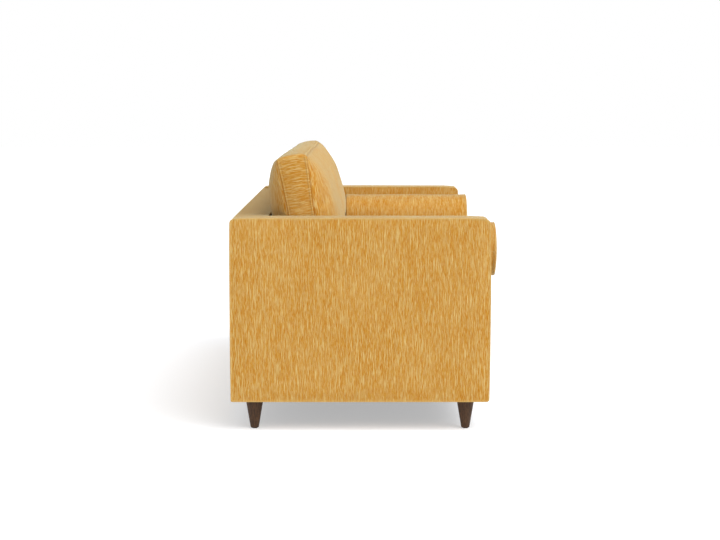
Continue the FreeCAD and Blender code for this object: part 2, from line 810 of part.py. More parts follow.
arm_bolts = []
for name, side in SIDES.items():
    for where, y in (("front", front_bolt_y), ("rear", rear_bolt_y)):
        for level in ("low", "high"):
            label, z = f"{name}_{where}_{level}", f"arm_bolt_{level}"
            x = f"-({start})" if side < 0 else start
            along, back = ("-x", "x") if side < 0 else ("x", "-x")
            shaft = rod(label + "_shaft", "bolt_diameter", "arm_bolt_length", x, y, z, along)
            head = rod(label + "_head", "bolt_head_diameter", "bolt_head_height", x, y, z, back)
            bolt = doc.addObject("Part::Fuse", label + "_bolt")
            bolt.Base, bolt.Tool = shaft, head
            arm_bolts.append(bolt)
node("arm_bolts", together("arm_bolts", arm_bolts))

# ------------------------------------------------------------------ check and export
doc.recompute()
for item in doc.Objects:
    if "Invalid" in item.State or "Error" in item.State:
        raise RuntimeError(f"{item.Name} did not build")
for name, item in nodes.items():
    if item.Shape.isNull() or not item.Shape.isValid() or not item.Shape.Solids:
        raise RuntimeError(f"{name} is not a valid solid")
    item.Shape.exportStep(os.path.join("parts", name + ".step"))
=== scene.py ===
"""Mustard two-cushion sofa: its upholstery, loose cushions and finishes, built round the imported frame."""

from __future__ import annotations

import json
import logging
import math
from contextlib import contextmanager
from dataclasses import dataclass, field
from enum import Enum
from typing import Callable, Iterable, Iterator

import bmesh
import bpy
import numpy as np
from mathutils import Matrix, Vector

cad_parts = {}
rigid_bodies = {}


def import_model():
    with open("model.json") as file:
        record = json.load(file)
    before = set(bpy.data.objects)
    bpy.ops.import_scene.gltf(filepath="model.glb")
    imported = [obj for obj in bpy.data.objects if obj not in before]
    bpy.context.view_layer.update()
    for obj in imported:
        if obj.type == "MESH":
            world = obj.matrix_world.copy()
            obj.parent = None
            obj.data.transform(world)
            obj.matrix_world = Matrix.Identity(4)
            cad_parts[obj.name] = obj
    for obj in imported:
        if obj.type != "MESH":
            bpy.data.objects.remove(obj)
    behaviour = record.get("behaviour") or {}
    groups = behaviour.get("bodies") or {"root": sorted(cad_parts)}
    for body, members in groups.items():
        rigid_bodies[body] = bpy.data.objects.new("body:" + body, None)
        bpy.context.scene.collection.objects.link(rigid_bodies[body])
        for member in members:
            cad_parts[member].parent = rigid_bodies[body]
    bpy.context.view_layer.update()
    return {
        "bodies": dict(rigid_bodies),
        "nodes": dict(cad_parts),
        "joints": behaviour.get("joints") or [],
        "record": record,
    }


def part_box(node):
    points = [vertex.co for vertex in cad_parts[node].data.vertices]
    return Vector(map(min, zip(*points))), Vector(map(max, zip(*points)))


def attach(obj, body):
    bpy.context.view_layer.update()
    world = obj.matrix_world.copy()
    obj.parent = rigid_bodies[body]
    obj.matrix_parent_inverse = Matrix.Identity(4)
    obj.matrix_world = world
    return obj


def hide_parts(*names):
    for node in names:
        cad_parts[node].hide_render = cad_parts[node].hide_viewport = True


LOG = logging.getLogger("sofa")
UV_NAME = "weave"
FLAT_NAME = "flat"
# Attribute that holds the painted seam shade (below 0) and the painted highlight on raised bands and welts
# (above 0).
SEAM_SHADING_NAME = "stitch"
ROW_NAME = "sewing_row"
RUN_NAME = "sewing_run"
MM = 0.001
SEED = 20417
RUN_STEP = 7.0
SEAM_ROWS = tuple(row * MM for row in (1.5, 4, 7, 9.5, 15))


# --------------------------------------------------------------------------- shader expressions
class Term:
    """A shader socket that Python arithmetic works on."""

    def __init__(self, graph: "Graph", socket: bpy.types.NodeSocket) -> None:
        """Keep the socket and the graph that its maths goes into.

        Args:
            graph: The graph that owns the socket.
            socket: The output socket to wrap.
        """
        self.graph = graph
        self.socket = socket

    def maths(self, operation: str, *others: "Term | float", clamp: bool = False) -> "Term":
        """Add one Math node.

        Args:
            operation: The Math node's operation.
            others: The second and third operand, where the operation has them.
            clamp: Whether the result is held between 0 and 1.

        Returns:
            The node's result.
        """
        values = {0: self, **{index: other for index, other in enumerate(others, start=1)}}
        return self.graph.node("ShaderNodeMath", {"operation": operation, "use_clamp": clamp}, values)

    def __add__(self, other: "Term | float") -> "Term":
        """Return self + other."""
        return self.maths("ADD", other)

    __radd__ = __add__

    def __mul__(self, other: "Term | float") -> "Term":
        """Return self * other."""
        return self.maths("MULTIPLY", other)

    __rmul__ = __mul__

    def __sub__(self, other: "Term | float") -> "Term":
        """Return self - other."""
        return self.maths("SUBTRACT", other)

    def __rsub__(self, other: float) -> "Term":
        """Return other - self."""
        return self.maths("MULTIPLY", -1.0) + other

    def sine(self) -> "Term":
        """Return the sine of the value, in radians."""
        return self.maths("SINE")

    def between(self, low: float, high: float) -> "Term":
        """Return a smooth step from 0 at low to 1 at high.

        Args:
            low: The value that gives 0.
            high: The value that gives 1.

        Returns:
            The stepped value.
        """
        settings = {"interpolation_type": "SMOOTHSTEP"}
        return self.graph.node("ShaderNodeMapRange", settings, {0: self, 1: low, 2: high, 3: 0.0, 4: 1.0})


class Graph:
    """The node tree of one material, or of the room."""

    def __init__(self, name: str, owner: bpy.types.World | None = None) -> None:
        """Start an empty material or room.

        Args:
            name: The material's name.
            owner: The room, where the nodes aren't a material's.
        """
        self.owner = owner or bpy.data.materials.new(name)
        self.owner.use_nodes = True
        self.tree = self.owner.node_tree
        self.tree.nodes.clear()

    def node(
        self, kind: str, settings: dict[str, object], inputs: dict[int | str, object], out: int | str = 0
    ) -> Term:
        """Add a node.

        Args:
            kind: The node's type.
            settings: Properties set before its sockets are filled; "stops" fills a colour ramp.
            inputs: A value or a Term for each named or numbered input.
            out: The output to return.

        Returns:
            The chosen output.
        """
        node = self.tree.nodes.new(kind)
        for key, setting in settings.items():
            if key == "stops":
                self._ramp(node, setting)
            else:
                setattr(node, key, setting)
        for key, value in inputs.items():
            if isinstance(value, Term):
                self.tree.links.new(value.socket, node.inputs[key])
            else:
                node.inputs[key].default_value = value
        return Term(self, node.outputs[out])

    @staticmethod
    def _ramp(node: bpy.types.Node, stops: Iterable[tuple[float, tuple[float, float, float]]]) -> None:
        """Fill a colour ramp.

        Args:
            node: The ramp.
            stops: Each stop's place and colour.
        """
        elements = node.color_ramp.elements
        while len(elements) > 1:
            elements.remove(elements[-1])
        for number, (place, colour) in enumerate(stops):
            element = elements[0] if number == 0 else elements.new(place)
            element.position = place
            element.color = (*colour, 1.0)

    def place(self) -> Term:
        """Return the object coordinates."""
        return self.node("ShaderNodeTexCoord", {}, {}, "Object")

    def cloth(self) -> Term:
        """Return the cloth's own coordinates, in metres: across the yarns, then along them."""
        return self.node("ShaderNodeUVMap", {"uv_map": UV_NAME}, {}, "UV")

    def noise(
        self,
        vector: Term,
        scale: tuple[float, float, float],
        shift: float = 0.0,
        detail: float = 2.0,
        rough: float = 0.5,
        warp: float = 0.0,
    ) -> Term:
        """Return noise with one feature to each unit of the scaled coordinates.

        Args:
            vector: The coordinates.
            scale: The factor on each axis.
            shift: A distance that separates one pattern from another.
            detail: The number of finer layers.
            rough: How strong the finer layers are.
            warp: How far the pattern is bent.

        Returns:
            A value that is mostly between 0.25 and 0.75.
        """
        mapping = {0: vector, "Location": (shift,) * 3, "Scale": scale}
        scaled = self.node("ShaderNodeMapping", {}, mapping)
        values = {"Vector": scaled, "Scale": 1.0, "Detail": detail, "Roughness": rough, "Distortion": warp}
        return self.node("ShaderNodeTexNoise", {}, values, "Fac")

    def mix(self, share: Term | float, one: object, other: object) -> Term:
        """Return one colour mixed with another.

        Args:
            share: How much of the second colour shows.
            one: The first colour, as three numbers or a Term.
            other: The second colour.

        Returns:
            The mixed colour.
        """
        colours = [value if isinstance(value, Term) else (*value, 1.0) for value in (one, other)]
        settings = {"data_type": "RGBA", "clamp_factor": True}
        return self.node("ShaderNodeMix", settings, {0: share, 6: colours[0], 7: colours[1]}, 2)

    def surface(
        self,
        colour: Term,
        roughness: Term | float,
        height: Term | None,
        depth: float,
        constants: dict[str, float | tuple[float, ...]],
    ) -> bpy.types.Material:
        """Finish the material with one principled shader.

        Args:
            colour: The base colour.
            roughness: The roughness.
            height: The relief, or None.
            depth: The relief's height in metres.
            constants: Other sockets, set to plain values.

        Returns:
            The finished material.
        """
        inputs: dict[int | str, object] = {"Base Color": colour, "Roughness": roughness, **constants}
        if height is not None:
            values = {"Strength": 1.0, "Distance": depth, "Height": height}
            inputs["Normal"] = self.node("ShaderNodeBump", {}, values)
        self.close("ShaderNodeOutputMaterial", self.node("ShaderNodeBsdfPrincipled", {}, inputs))
        return self.owner

    def close(self, kind: str, shader: Term) -> None:
        """Send a shader to the output.

        Args:
            kind: The output node's type.
            shader: The shader.
        """
        self.tree.links.new(shader.socket, self.tree.nodes.new(kind).inputs["Surface"])


# --------------------------------------------------------------------------- finishes
@dataclass(frozen=True)
class SlubCloth:
    """Chenille cloth woven with uneven slub yarns that run along one way."""

    name: str
    ground: tuple[float, float, float]
    pale: tuple[float, float, float]
    deep: tuple[float, float, float]
    # Thread colour of the stitches, also used for the painted highlight on raised seam bands and welt edges.
    thread_and_highlight: tuple[float, float, float]
    yarn_pitch: float = 1.5 * MM
    slub_width: float = 1.35 * MM
    slub_length: float = 20.0 * MM
    relief: float = 0.55 * MM
    stitch_length: float = 5.0 * MM
    # Colour of the painted shade in seam grooves and along stitch lines.
    seam_shade: tuple[float, float, float] = (0.24, 0.080, 0.008)
    pale_range: tuple[float, float] = (0.56, 0.68)
    deep_range: tuple[float, float] = (0.44, 0.58)
    cloud_share: float = 0.26
    fuzz_share: float = 0.4
    sheen: float = 0.43
    sheen_tint: tuple[float, float, float, float] = (0.66, 1.0, 0.85, 1.0)

    def build(self) -> bpy.types.Material:
        """Build the material.

        Returns:
            The finished material.
        """
        graph = Graph(self.name)
        cloth = graph.cloth()
        across, along = 1 / self.slub_width, 1 / self.slub_length
        bend = graph.noise(cloth, (22.0, 16.0, 1.0), 3.1, 1.0)
        wander = graph.node(
            "ShaderNodeCombineXYZ", {}, {0: (bend - 0.5) * (0.7 * self.slub_width), 1: 0.0, 2: 0.0}
        )
        bent = graph.node("ShaderNodeVectorMath", {"operation": "ADD"}, {0: cloth, 1: wander})
        long_slub = graph.noise(bent, (across, along * 0.45, 1.0), 11.7, 0.0)
        short_slub = graph.noise(bent, (across * 1.15, along * 1.3, 1.0), 47.3, 0.0)
        deep_slub = graph.noise(bent, (across * 1.05, along, 1.0), 83.9, 1.0, 0.5)
        cloud = graph.noise(cloth, (9.0, 6.0, 1.0), 5.5, 2.0, 0.5)
        fuzz = graph.noise(cloth, (800.0, 380.0, 1.0), 0.7, 1.0, 0.6)

        pale_mask = long_slub.between(*self.pale_range) * 0.8 + short_slub.between(*self.pale_range) * 0.5
        pale_mask = pale_mask.maths("MINIMUM", 1.0)
        deep_mask = deep_slub.between(*self.deep_range)
        yarns = graph.mix(pale_mask, graph.mix(deep_mask, self.ground, self.deep), self.pale)
        bright = tuple(min(1.0, part * 1.25) for part in self.pale)
        fade = (cloud - 0.5) * self.cloud_share + (fuzz - 0.5) * self.fuzz_share + 0.04
        faded = graph.mix(fade, yarns, bright)
        # Read the painted seam shade and highlight stored on the cloth.
        stitch = graph.node("ShaderNodeAttribute", {"attribute_name": SEAM_SHADING_NAME}, {}, "Fac")
        # Painted shade in the seam grooves and along the stitch lines.
        seam_shaded = graph.mix(stitch.maths("MULTIPLY", -1.0, clamp=True), faded, self.seam_shade)
        # Painted highlight on the raised seam bands and welt edges, in the thread colour.
        lit = graph.mix(stitch.maths("MULTIPLY", 1.0, clamp=True), seam_shaded, self.thread_and_highlight)
        row = graph.node("ShaderNodeAttribute", {"attribute_name": ROW_NAME}, {}, "Fac")
        run = graph.node("ShaderNodeAttribute", {"attribute_name": RUN_NAME}, {}, "Fac")
        dash = row * (run * (math.tau / self.stitch_length)).sine().between(-0.45, 0.05)
        lit = graph.mix(dash * 0.55, lit, self.thread_and_highlight)

        first = graph.node("ShaderNodeSeparateXYZ", {}, {0: bent}, 0)
        second = graph.node("ShaderNodeSeparateXYZ", {}, {0: cloth}, 1)
        threads = (first * (math.tau / self.yarn_pitch)).sine()
        picks = (second * (math.tau / (1.3 * self.yarn_pitch))).sine()
        weave = threads * 0.20 + threads * picks * 0.16 + 0.4
        height = weave + pale_mask * 0.5 + fuzz * 0.35 - deep_mask * 0.15 + dash * 0.8
        roughness = pale_mask * -0.08 + 0.92
        constants = {
            "Sheen Weight": self.sheen,
            "Sheen Roughness": 0.35,
            "Sheen Tint": self.sheen_tint,
            "Specular IOR Level": 0.15,
        }
        return graph.surface(lit, roughness, height, self.relief, constants)


@dataclass(frozen=True)
class TurnedWood:
    """Dark lacquered walnut, its grain along the height."""

    name: str
    light: tuple[float, float, float]
    dark: tuple[float, float, float]
    grain: float = 3.0 * MM
    coat: float = 0.06

    def build(self) -> bpy.types.Material:
        """Build the material.

        Returns:
            The finished material.
        """
        graph = Graph(self.name)
        place = graph.place()
        across = 1 / self.grain
        figure = graph.noise(place, (across, across, across / 14), 2.2, 3.0, 0.6, 0.6)
        pores = graph.noise(place, (across * 4, across * 4, across / 5), 9.0, 2.0, 0.7)
        broad = graph.noise(place, (45.0, 45.0, 8.0), 1.0, 1.0)
        share = figure.between(0.32, 0.68) * 0.75 + broad * 0.3
        middle = tuple(0.45 * a + 0.55 * b for a, b in zip(self.light, self.dark))
        stops = [(0.0, self.dark), (0.5, middle), (1.0, self.light)]
        colour = graph.node("ShaderNodeValToRGB", {"stops": stops}, {0: share})
        colour = graph.mix(pores.between(0.56, 0.70) * 0.6, colour, tuple(c * 0.45 for c in self.dark))
        height = figure * 0.4 + pores * 0.6
        constants = {"Coat Roughness": 0.35, "Specular IOR Level": 0.22}
        roughness = figure * 0.18 + 0.45
        return graph.surface(colour, roughness, height, 0.12 * MM, {**constants, "Coat Weight": self.coat})


@dataclass(frozen=True)
class SawnWood:
    """Plain frame timber or board, with saw marks and end grain."""

    name: str
    light: tuple[float, float, float]
    dark: tuple[float, float, float]
    along: tuple[float, float, float] = (6.0, 90.0, 90.0)

    def build(self) -> bpy.types.Material:
        """Build the material.

        Returns:
            The finished material.
        """
        graph = Graph(self.name)
        place = graph.place()
        rings = graph.noise(place, self.along, 4.0, 4.0, 0.6, 0.8)
        saw = graph.noise(place, (700.0, 700.0, 60.0), 1.5, 1.0)
        colour = graph.mix(rings.between(0.3, 0.7), self.light, self.dark)
        height = rings * 0.6 + saw * 0.4
        return graph.surface(colour, rings * 0.2 + 0.6, height, 0.25 * MM, {"Specular IOR Level": 0.3})


@dataclass(frozen=True)
class Metal:
    """Drawn or plated steel with fine scratches."""

    name: str
    colour: tuple[float, float, float]
    roughness: float

    def build(self) -> bpy.types.Material:
        """Build the material.

        Returns:
            The finished material.
        """
        graph = Graph(self.name)
        place = graph.place()
        scratch = graph.noise(place, (900.0, 900.0, 120.0), 6.0, 2.0)
        stain = graph.noise(place, (60.0, 60.0, 60.0), 2.0, 3.0)
        colour = graph.mix(stain.between(0.35, 0.7), self.colour, tuple(c * 0.7 for c in self.colour))
        roughness = scratch * 0.25 + (self.roughness - 0.12)
        return graph.surface(colour, roughness, scratch, 0.05 * MM, {"Metallic": 1.0})


@dataclass(frozen=True)
class PlainStuff:
    """A plain fibrous or moulded stuff: felt, foam, lining, webbing or nylon."""

    name: str
    colour: tuple[float, float, float]
    grain: float
    relief: float
    roughness: float = 0.9
    sheen: float = 0.0

    def build(self) -> bpy.types.Material:
        """Build the material.

        Returns:
            The finished material.
        """
        graph = Graph(self.name)
        place = graph.place()
        fine = 1 / self.grain
        fibre = graph.noise(place, (fine, fine * 0.6, fine), 3.0, 3.0, 0.65, 0.5)
        patch = graph.noise(place, (18.0, 18.0, 18.0), 8.0, 2.0)
        share = fibre.between(0.35, 0.7) * 0.6 + patch * 0.35
        colour = graph.mix(share, self.colour, tuple(c * 0.72 for c in self.colour))
        constants = {"Sheen Weight": self.sheen, "Specular IOR Level": 0.25}
        roughness = fibre * 0.1 + (self.roughness - 0.05)
        return graph.surface(colour, roughness, fibre, self.relief, constants)


class Finishes:
    """All finishes of the sofa, by the record's material slot."""

    def __init__(self) -> None:
        """Build every material once."""
        mustard = SlubCloth(
            "mustard_slub_cloth",
            ground=(0.425, 0.208, 0.026),
            pale=(0.53, 0.372, 0.137),
            deep=(0.380, 0.143, 0.008),
            thread_and_highlight=(0.52, 0.36, 0.13),
        )
        makers = {
            "cover_fabric": mustard,
            "leg_wood": TurnedWood(
                "walnut_lacquer", light=(0.088, 0.042, 0.017), dark=(0.026, 0.011, 0.0045)
            ),
            "frame_wood": SawnWood("frame_timber", light=(0.62, 0.44, 0.25), dark=(0.44, 0.28, 0.14)),
            "panel_board": SawnWood(
                "plywood_board", light=(0.58, 0.42, 0.25), dark=(0.42, 0.28, 0.15), along=(5.0, 60.0, 9.0)
            ),
            "zinc_steel": Metal("zinc_plate", (0.62, 0.62, 0.60), 0.35),
            "spring_steel": Metal("spring_wire", (0.30, 0.30, 0.31), 0.42),
            "glide_plastic": PlainStuff("nylon_glide", (0.06, 0.05, 0.045), 2 * MM, 0.05 * MM, 0.55),
            "cushion_filling": PlainStuff("filling_fibre", (0.86, 0.84, 0.78), 4 * MM, 0.6 * MM),
            "fibre_padding": PlainStuff("bonded_fibre", (0.85, 0.85, 0.83), 3 * MM, 0.6 * MM),
            "deck_lining": PlainStuff("deck_lining", (0.42, 0.24, 0.07), 1.2 * MM, 0.25 * MM, 0.9, 0.1),
            "dust_cloth": PlainStuff("dust_cloth", (0.022, 0.022, 0.024), 1.5 * MM, 0.2 * MM, 0.85),
            "webbing": PlainStuff("elastic_webbing", (0.50, 0.40, 0.26), 2 * MM, 0.5 * MM),
        }
        self.by_slot = {slot: maker.build() for slot, maker in makers.items()}

    def dress_frame(self, frame: dict) -> None:
        """Give every carried-over node the finish of its slot.
        """
        for row in frame["record"]["subparts"]:
            materials = frame["nodes"][row["node"]].data.materials
            if not len(materials):
                materials.append(None)
            for index in range(len(materials)):
                materials[index] = self.by_slot[row["material_slot"]]


# --------------------------------------------------------------------------- mesh work
class Axis(Enum):
    """A row axis."""

    X = 0
    Y = 1
    Z = 2


class Bench:
    """Edit-mode work on one new mesh."""

    def __init__(self, name: str) -> None:
        """Take the primitive that was just added, and bring its place into its mesh.

        Args:
            name: The piece's name.
        """
        self.piece = bpy.context.active_object
        self.piece.name = self.piece.data.name = name
        bpy.ops.object.transform_apply(location=True, rotation=True, scale=True)
        while self.piece.data.uv_layers:
            self.piece.data.uv_layers.remove(self.piece.data.uv_layers[0])

    @classmethod
    def block(cls, name: str, low: Vector, high: Vector) -> "Bench":
        """Add a block between two corners.

        Args:
            name: The piece's name.
            low: The lowest corner.
            high: The highest corner.

        Returns:
            The bench that holds it.
        """
        bpy.ops.object.select_all(action="DESELECT")
        bpy.ops.mesh.primitive_cube_add(size=1.0, location=(low + high) / 2)
        bpy.context.active_object.scale = high - low
        return cls(name)

    @classmethod
    def barrel(cls, name: str, centre: Vector, radius: float, length: float, sides: int) -> "Bench":
        """Add a cylinder that lies along Y.

        Args:
            name: The piece's name.
            centre: Its middle.
            radius: Its radius.
            length: Its length.
            sides: How many sides it has.

        Returns:
            The bench that holds it.
        """
        bpy.ops.object.select_all(action="DESELECT")
        bpy.ops.mesh.primitive_cylinder_add(
            vertices=sides, radius=radius, depth=length, end_fill_type="NGON", location=centre
        )
        bpy.context.active_object.rotation_euler = (math.pi / 2, 0.0, 0.0)
        return cls(name)

    @contextmanager
    def editing(self) -> Iterator[None]:
        """Work in edit mode with nothing selected."""
        bpy.context.view_layer.objects.active = self.piece
        bpy.ops.object.mode_set(mode="EDIT")
        bpy.ops.mesh.select_all(action="DESELECT")
        try:
            yield
        finally:
            bpy.ops.object.mode_set(mode="OBJECT")

    def pick(self, kind: str, test: Callable[[object], bool]) -> None:
        """Select the vertices, edges or faces that pass a test.

        Args:
            kind: "VERT", "EDGE" or "FACE".
            test: The test, on a bmesh element.
        """
        bpy.ops.mesh.select_mode(type=kind)
        bpy.ops.mesh.select_all(action="DESELECT")
        work = bmesh.from_edit_mesh(self.piece.data)
        for item in {"VERT": work.verts, "EDGE": work.edges, "FACE": work.faces}[kind]:
            if test(item):
                item.select_set(True)
        work.select_flush_mode()
        bmesh.update_edit_mesh(self.piece.data)

    def cut(self, axis: Axis, places: Iterable[float]) -> None:
        """Cut the whole mesh across an axis at each place.

        Args:
            axis: The axis that the cuts are square to.
            places: Where they are, in metres.
        """
        normal = [1.0 if index == axis.value else 0.0 for index in range(3)]
        for spot in places:
            bpy.ops.mesh.select_all(action="SELECT")
            bpy.ops.mesh.bisect(plane_co=[spot * part for part in normal], plane_no=normal, threshold=1e-6)


def vectors(rows: bpy.types.bpy_prop_collection, name: str) -> np.ndarray:
    """Return one vector of each row of a mesh.

    Args:
        rows: The mesh's vertices, faces, normals or attribute values.
        name: The vector's name.

    Returns:
        The vectors, one row each.
    """
    out = np.zeros(len(rows) * 3)
    rows.foreach_get(name, out)
    return out.reshape(-1, 3)


def coordinates(piece: bpy.types.Object) -> np.ndarray:
    """Return a mesh's vertex places, one row each."""
    return vectors(piece.data.vertices, "co")


def put(piece: bpy.types.Object, places: np.ndarray) -> None:
    """Move a mesh's vertices.

    Args:
        piece: The piece.
        places: The new places, one row each.
    """
    piece.data.vertices.foreach_set("co", places.astype(np.float32).ravel())
    piece.data.update()


def normals(piece: bpy.types.Object) -> np.ndarray:
    """Return a mesh's vertex normals, one row each."""
    return vectors(piece.data.vertex_normals, "vector")


def flat_places(piece: bpy.types.Object) -> np.ndarray:
    """Return where each vertex was in the flat pattern block, one row each."""
    return vectors(piece.data.attributes[FLAT_NAME].data, "vector")


def mark(piece: bpy.types.Object, marks: dict[str, np.ndarray]) -> None:
    """Store named values at each point of a piece.

    Args:
        piece: The piece.
        marks: The values of each point, by name.
    """
    for name, values in marks.items():
        layer = piece.data.attributes.new(name, "FLOAT", "POINT")
        layer.data.foreach_set("value", values.astype(np.float32))


def smooth(value: np.ndarray, low: float, high: float) -> np.ndarray:
    """Return a smooth step from 0 at low to 1 at high."""
    share = np.clip((value - low) / (high - low), 0.0, 1.0)
    return share * share * (3 - 2 * share)


def dome(share: np.ndarray, power: float) -> np.ndarray:
    """Return a swell that is 0 where share is 0 and 1 where it is 1 or more."""
    return (1 - (1 - np.clip(share, 0.0, 1.0)) ** 2) ** power


def dress(piece: bpy.types.Object, finishes: Finishes, slot: str, body: str, nodes: tuple[str, ...]) -> None:
    """Give a piece its finish and its body, and hide the nodes that it stands for.

    Args:
        piece: The piece.
        finishes: The finishes.
        slot: The material slot that it takes its finish from.
        body: The body that it moves with.
        nodes: The nodes that it stands for.
    """
    piece.data.materials.append(finishes.by_slot[slot])
    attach(piece, body)
    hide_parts(*nodes)
    LOG.info("%s: %d faces", piece.name, len(piece.data.polygons))


def steps(low: float, high: float, pitch: float, close: Iterable[float] = ()) -> list[float]:
    """Return evenly spaced cuts between two ends, and close rows beside each end.

    Args:
        low: The first end.
        high: The last end.
        pitch: The widest space between cuts.
        close: Distances from each end that also get a cut.

    Returns:
        The places, in order.
    """
    close = sorted(close)
    margin, extra = (close[-1], 1) if close else (0.0, 0)
    start, end = low + margin, high - margin
    count = max(1, round((end - start) / pitch))
    inner = [start + (end - start) * n / count for n in range(1 - extra, count + extra)]
    edges = [low + row for row in close[:-1]] + [high - row for row in close[:-1]]
    return sorted(inner + edges)


@dataclass
class Seam:
    """How a sewn seam looks along the edge between two panels: its relief, and the shade and highlight
    painted along it.
    """

    groove: float = 0.8 * MM
    groove_width: float = 1.5 * MM
    band: float = 0.9 * MM
    band_width: float = 7.0 * MM
    stitch_groove: float = 0.8 * MM
    pucker: float = 1.0 * MM
    pucker_reach: float = 26.0 * MM
    # depth scales the painted shade and highlight along the seam; lit_edge paints a highlight along a welt's
    # bead.
    depth: float = 1.0
    lit_edge: float = 0.0
    # Strengths of the painted shade at the seam and along the stitch line, and of the painted highlight on
    # the raised band.
    seam_shade: float = -0.55
    line_shade: float = -0.45
    band_highlight: float = 0.42
    stitch_width: float = 1.3 * MM

    def marks(self, distance: np.ndarray, run: np.ndarray, on_band: np.ndarray) -> dict[str, np.ndarray]:
        """Return what the cloth's finish needs to know about the sewing, with the shade and highlight that it
        paints along the seam.

        Args:
            distance: How far each point is from the seam.
            run: Where each point is along the seam.
            on_band: 1 where the seam allowance lies under the cloth, and 0 elsewhere.

        Returns:
            The painted shade and highlight, which is dark below 0 and pale above it, the row of stitches, and
            the run along it.
        """
        past = distance - self.band_width
        # Painted shade in the seam, and a painted highlight along a welt's edge.
        seam = self.seam_shade * self.depth * np.exp(-((distance / self.stitch_width) ** 2))
        seam = seam + self.lit_edge * np.exp(-((distance / (4.0 * MM)) ** 2))
        # Painted shade along the stitch line.
        line = self.line_shade * self.depth * on_band * np.exp(-((past / self.stitch_width) ** 2))
        # Painted highlight on the raised band.
        middle, spread = self.band_width / 2, 0.32 * self.band_width
        band = self.band_highlight * self.depth * on_band * np.exp(-(((distance - middle) / spread) ** 2))
        row = on_band * (self.stitch_groove > 0) * np.clip(1 - np.abs(past) / self.stitch_width, 0, 1)
        return {SEAM_SHADING_NAME: seam + line + band, ROW_NAME: row, RUN_NAME: run}

    def relief(
        self, distance: np.ndarray, run: np.ndarray, on_band: np.ndarray, rng: np.random.Generator
    ) -> np.ndarray:
        """Return how far each point of the cloth stands out.

        Args:
            distance: How far each point is from the seam.
            run: Where each point is along the seam.
            on_band: 1 where the seam allowance lies under the cloth, and 0 elsewhere.
            rng: The random source.

        Returns:
            The relief, in metres.
        """
        dip = -self.groove * np.exp(-((distance / self.groove_width) ** 2))
        edge = smooth(distance, 0.4 * self.groove_width, 1.6 * self.groove_width)
        past_band = smooth(distance, self.band_width - 1.2 * MM, self.band_width + 0.3 * MM)
        band = self.band * edge * (1 - past_band)
        line = -self.stitch_groove * np.exp(-(((distance - self.band_width) / (1.1 * MM)) ** 2))
        waves = np.zeros_like(run)
        for length in (13 * MM, 19 * MM, 29 * MM, 41 * MM):
            phase, slant, beat = rng.uniform(0, math.tau), rng.uniform(-18, 18), rng.uniform(3, 7)
            swing = 0.55 + 0.45 * np.sin(run * beat * 2.3 + phase * 1.7)
            wave = np.sin(math.tau * run / length + phase + slant * distance)
            waves += swing * wave * (length / (41 * MM)) ** 0.5
        fading = 1 - smooth(distance, self.band_width, self.pucker_reach)
        reach = smooth(distance, 0.8 * MM, self.band_width) * fading
        return dip + on_band * (band + line) + self.pucker * 0.5 * waves * reach


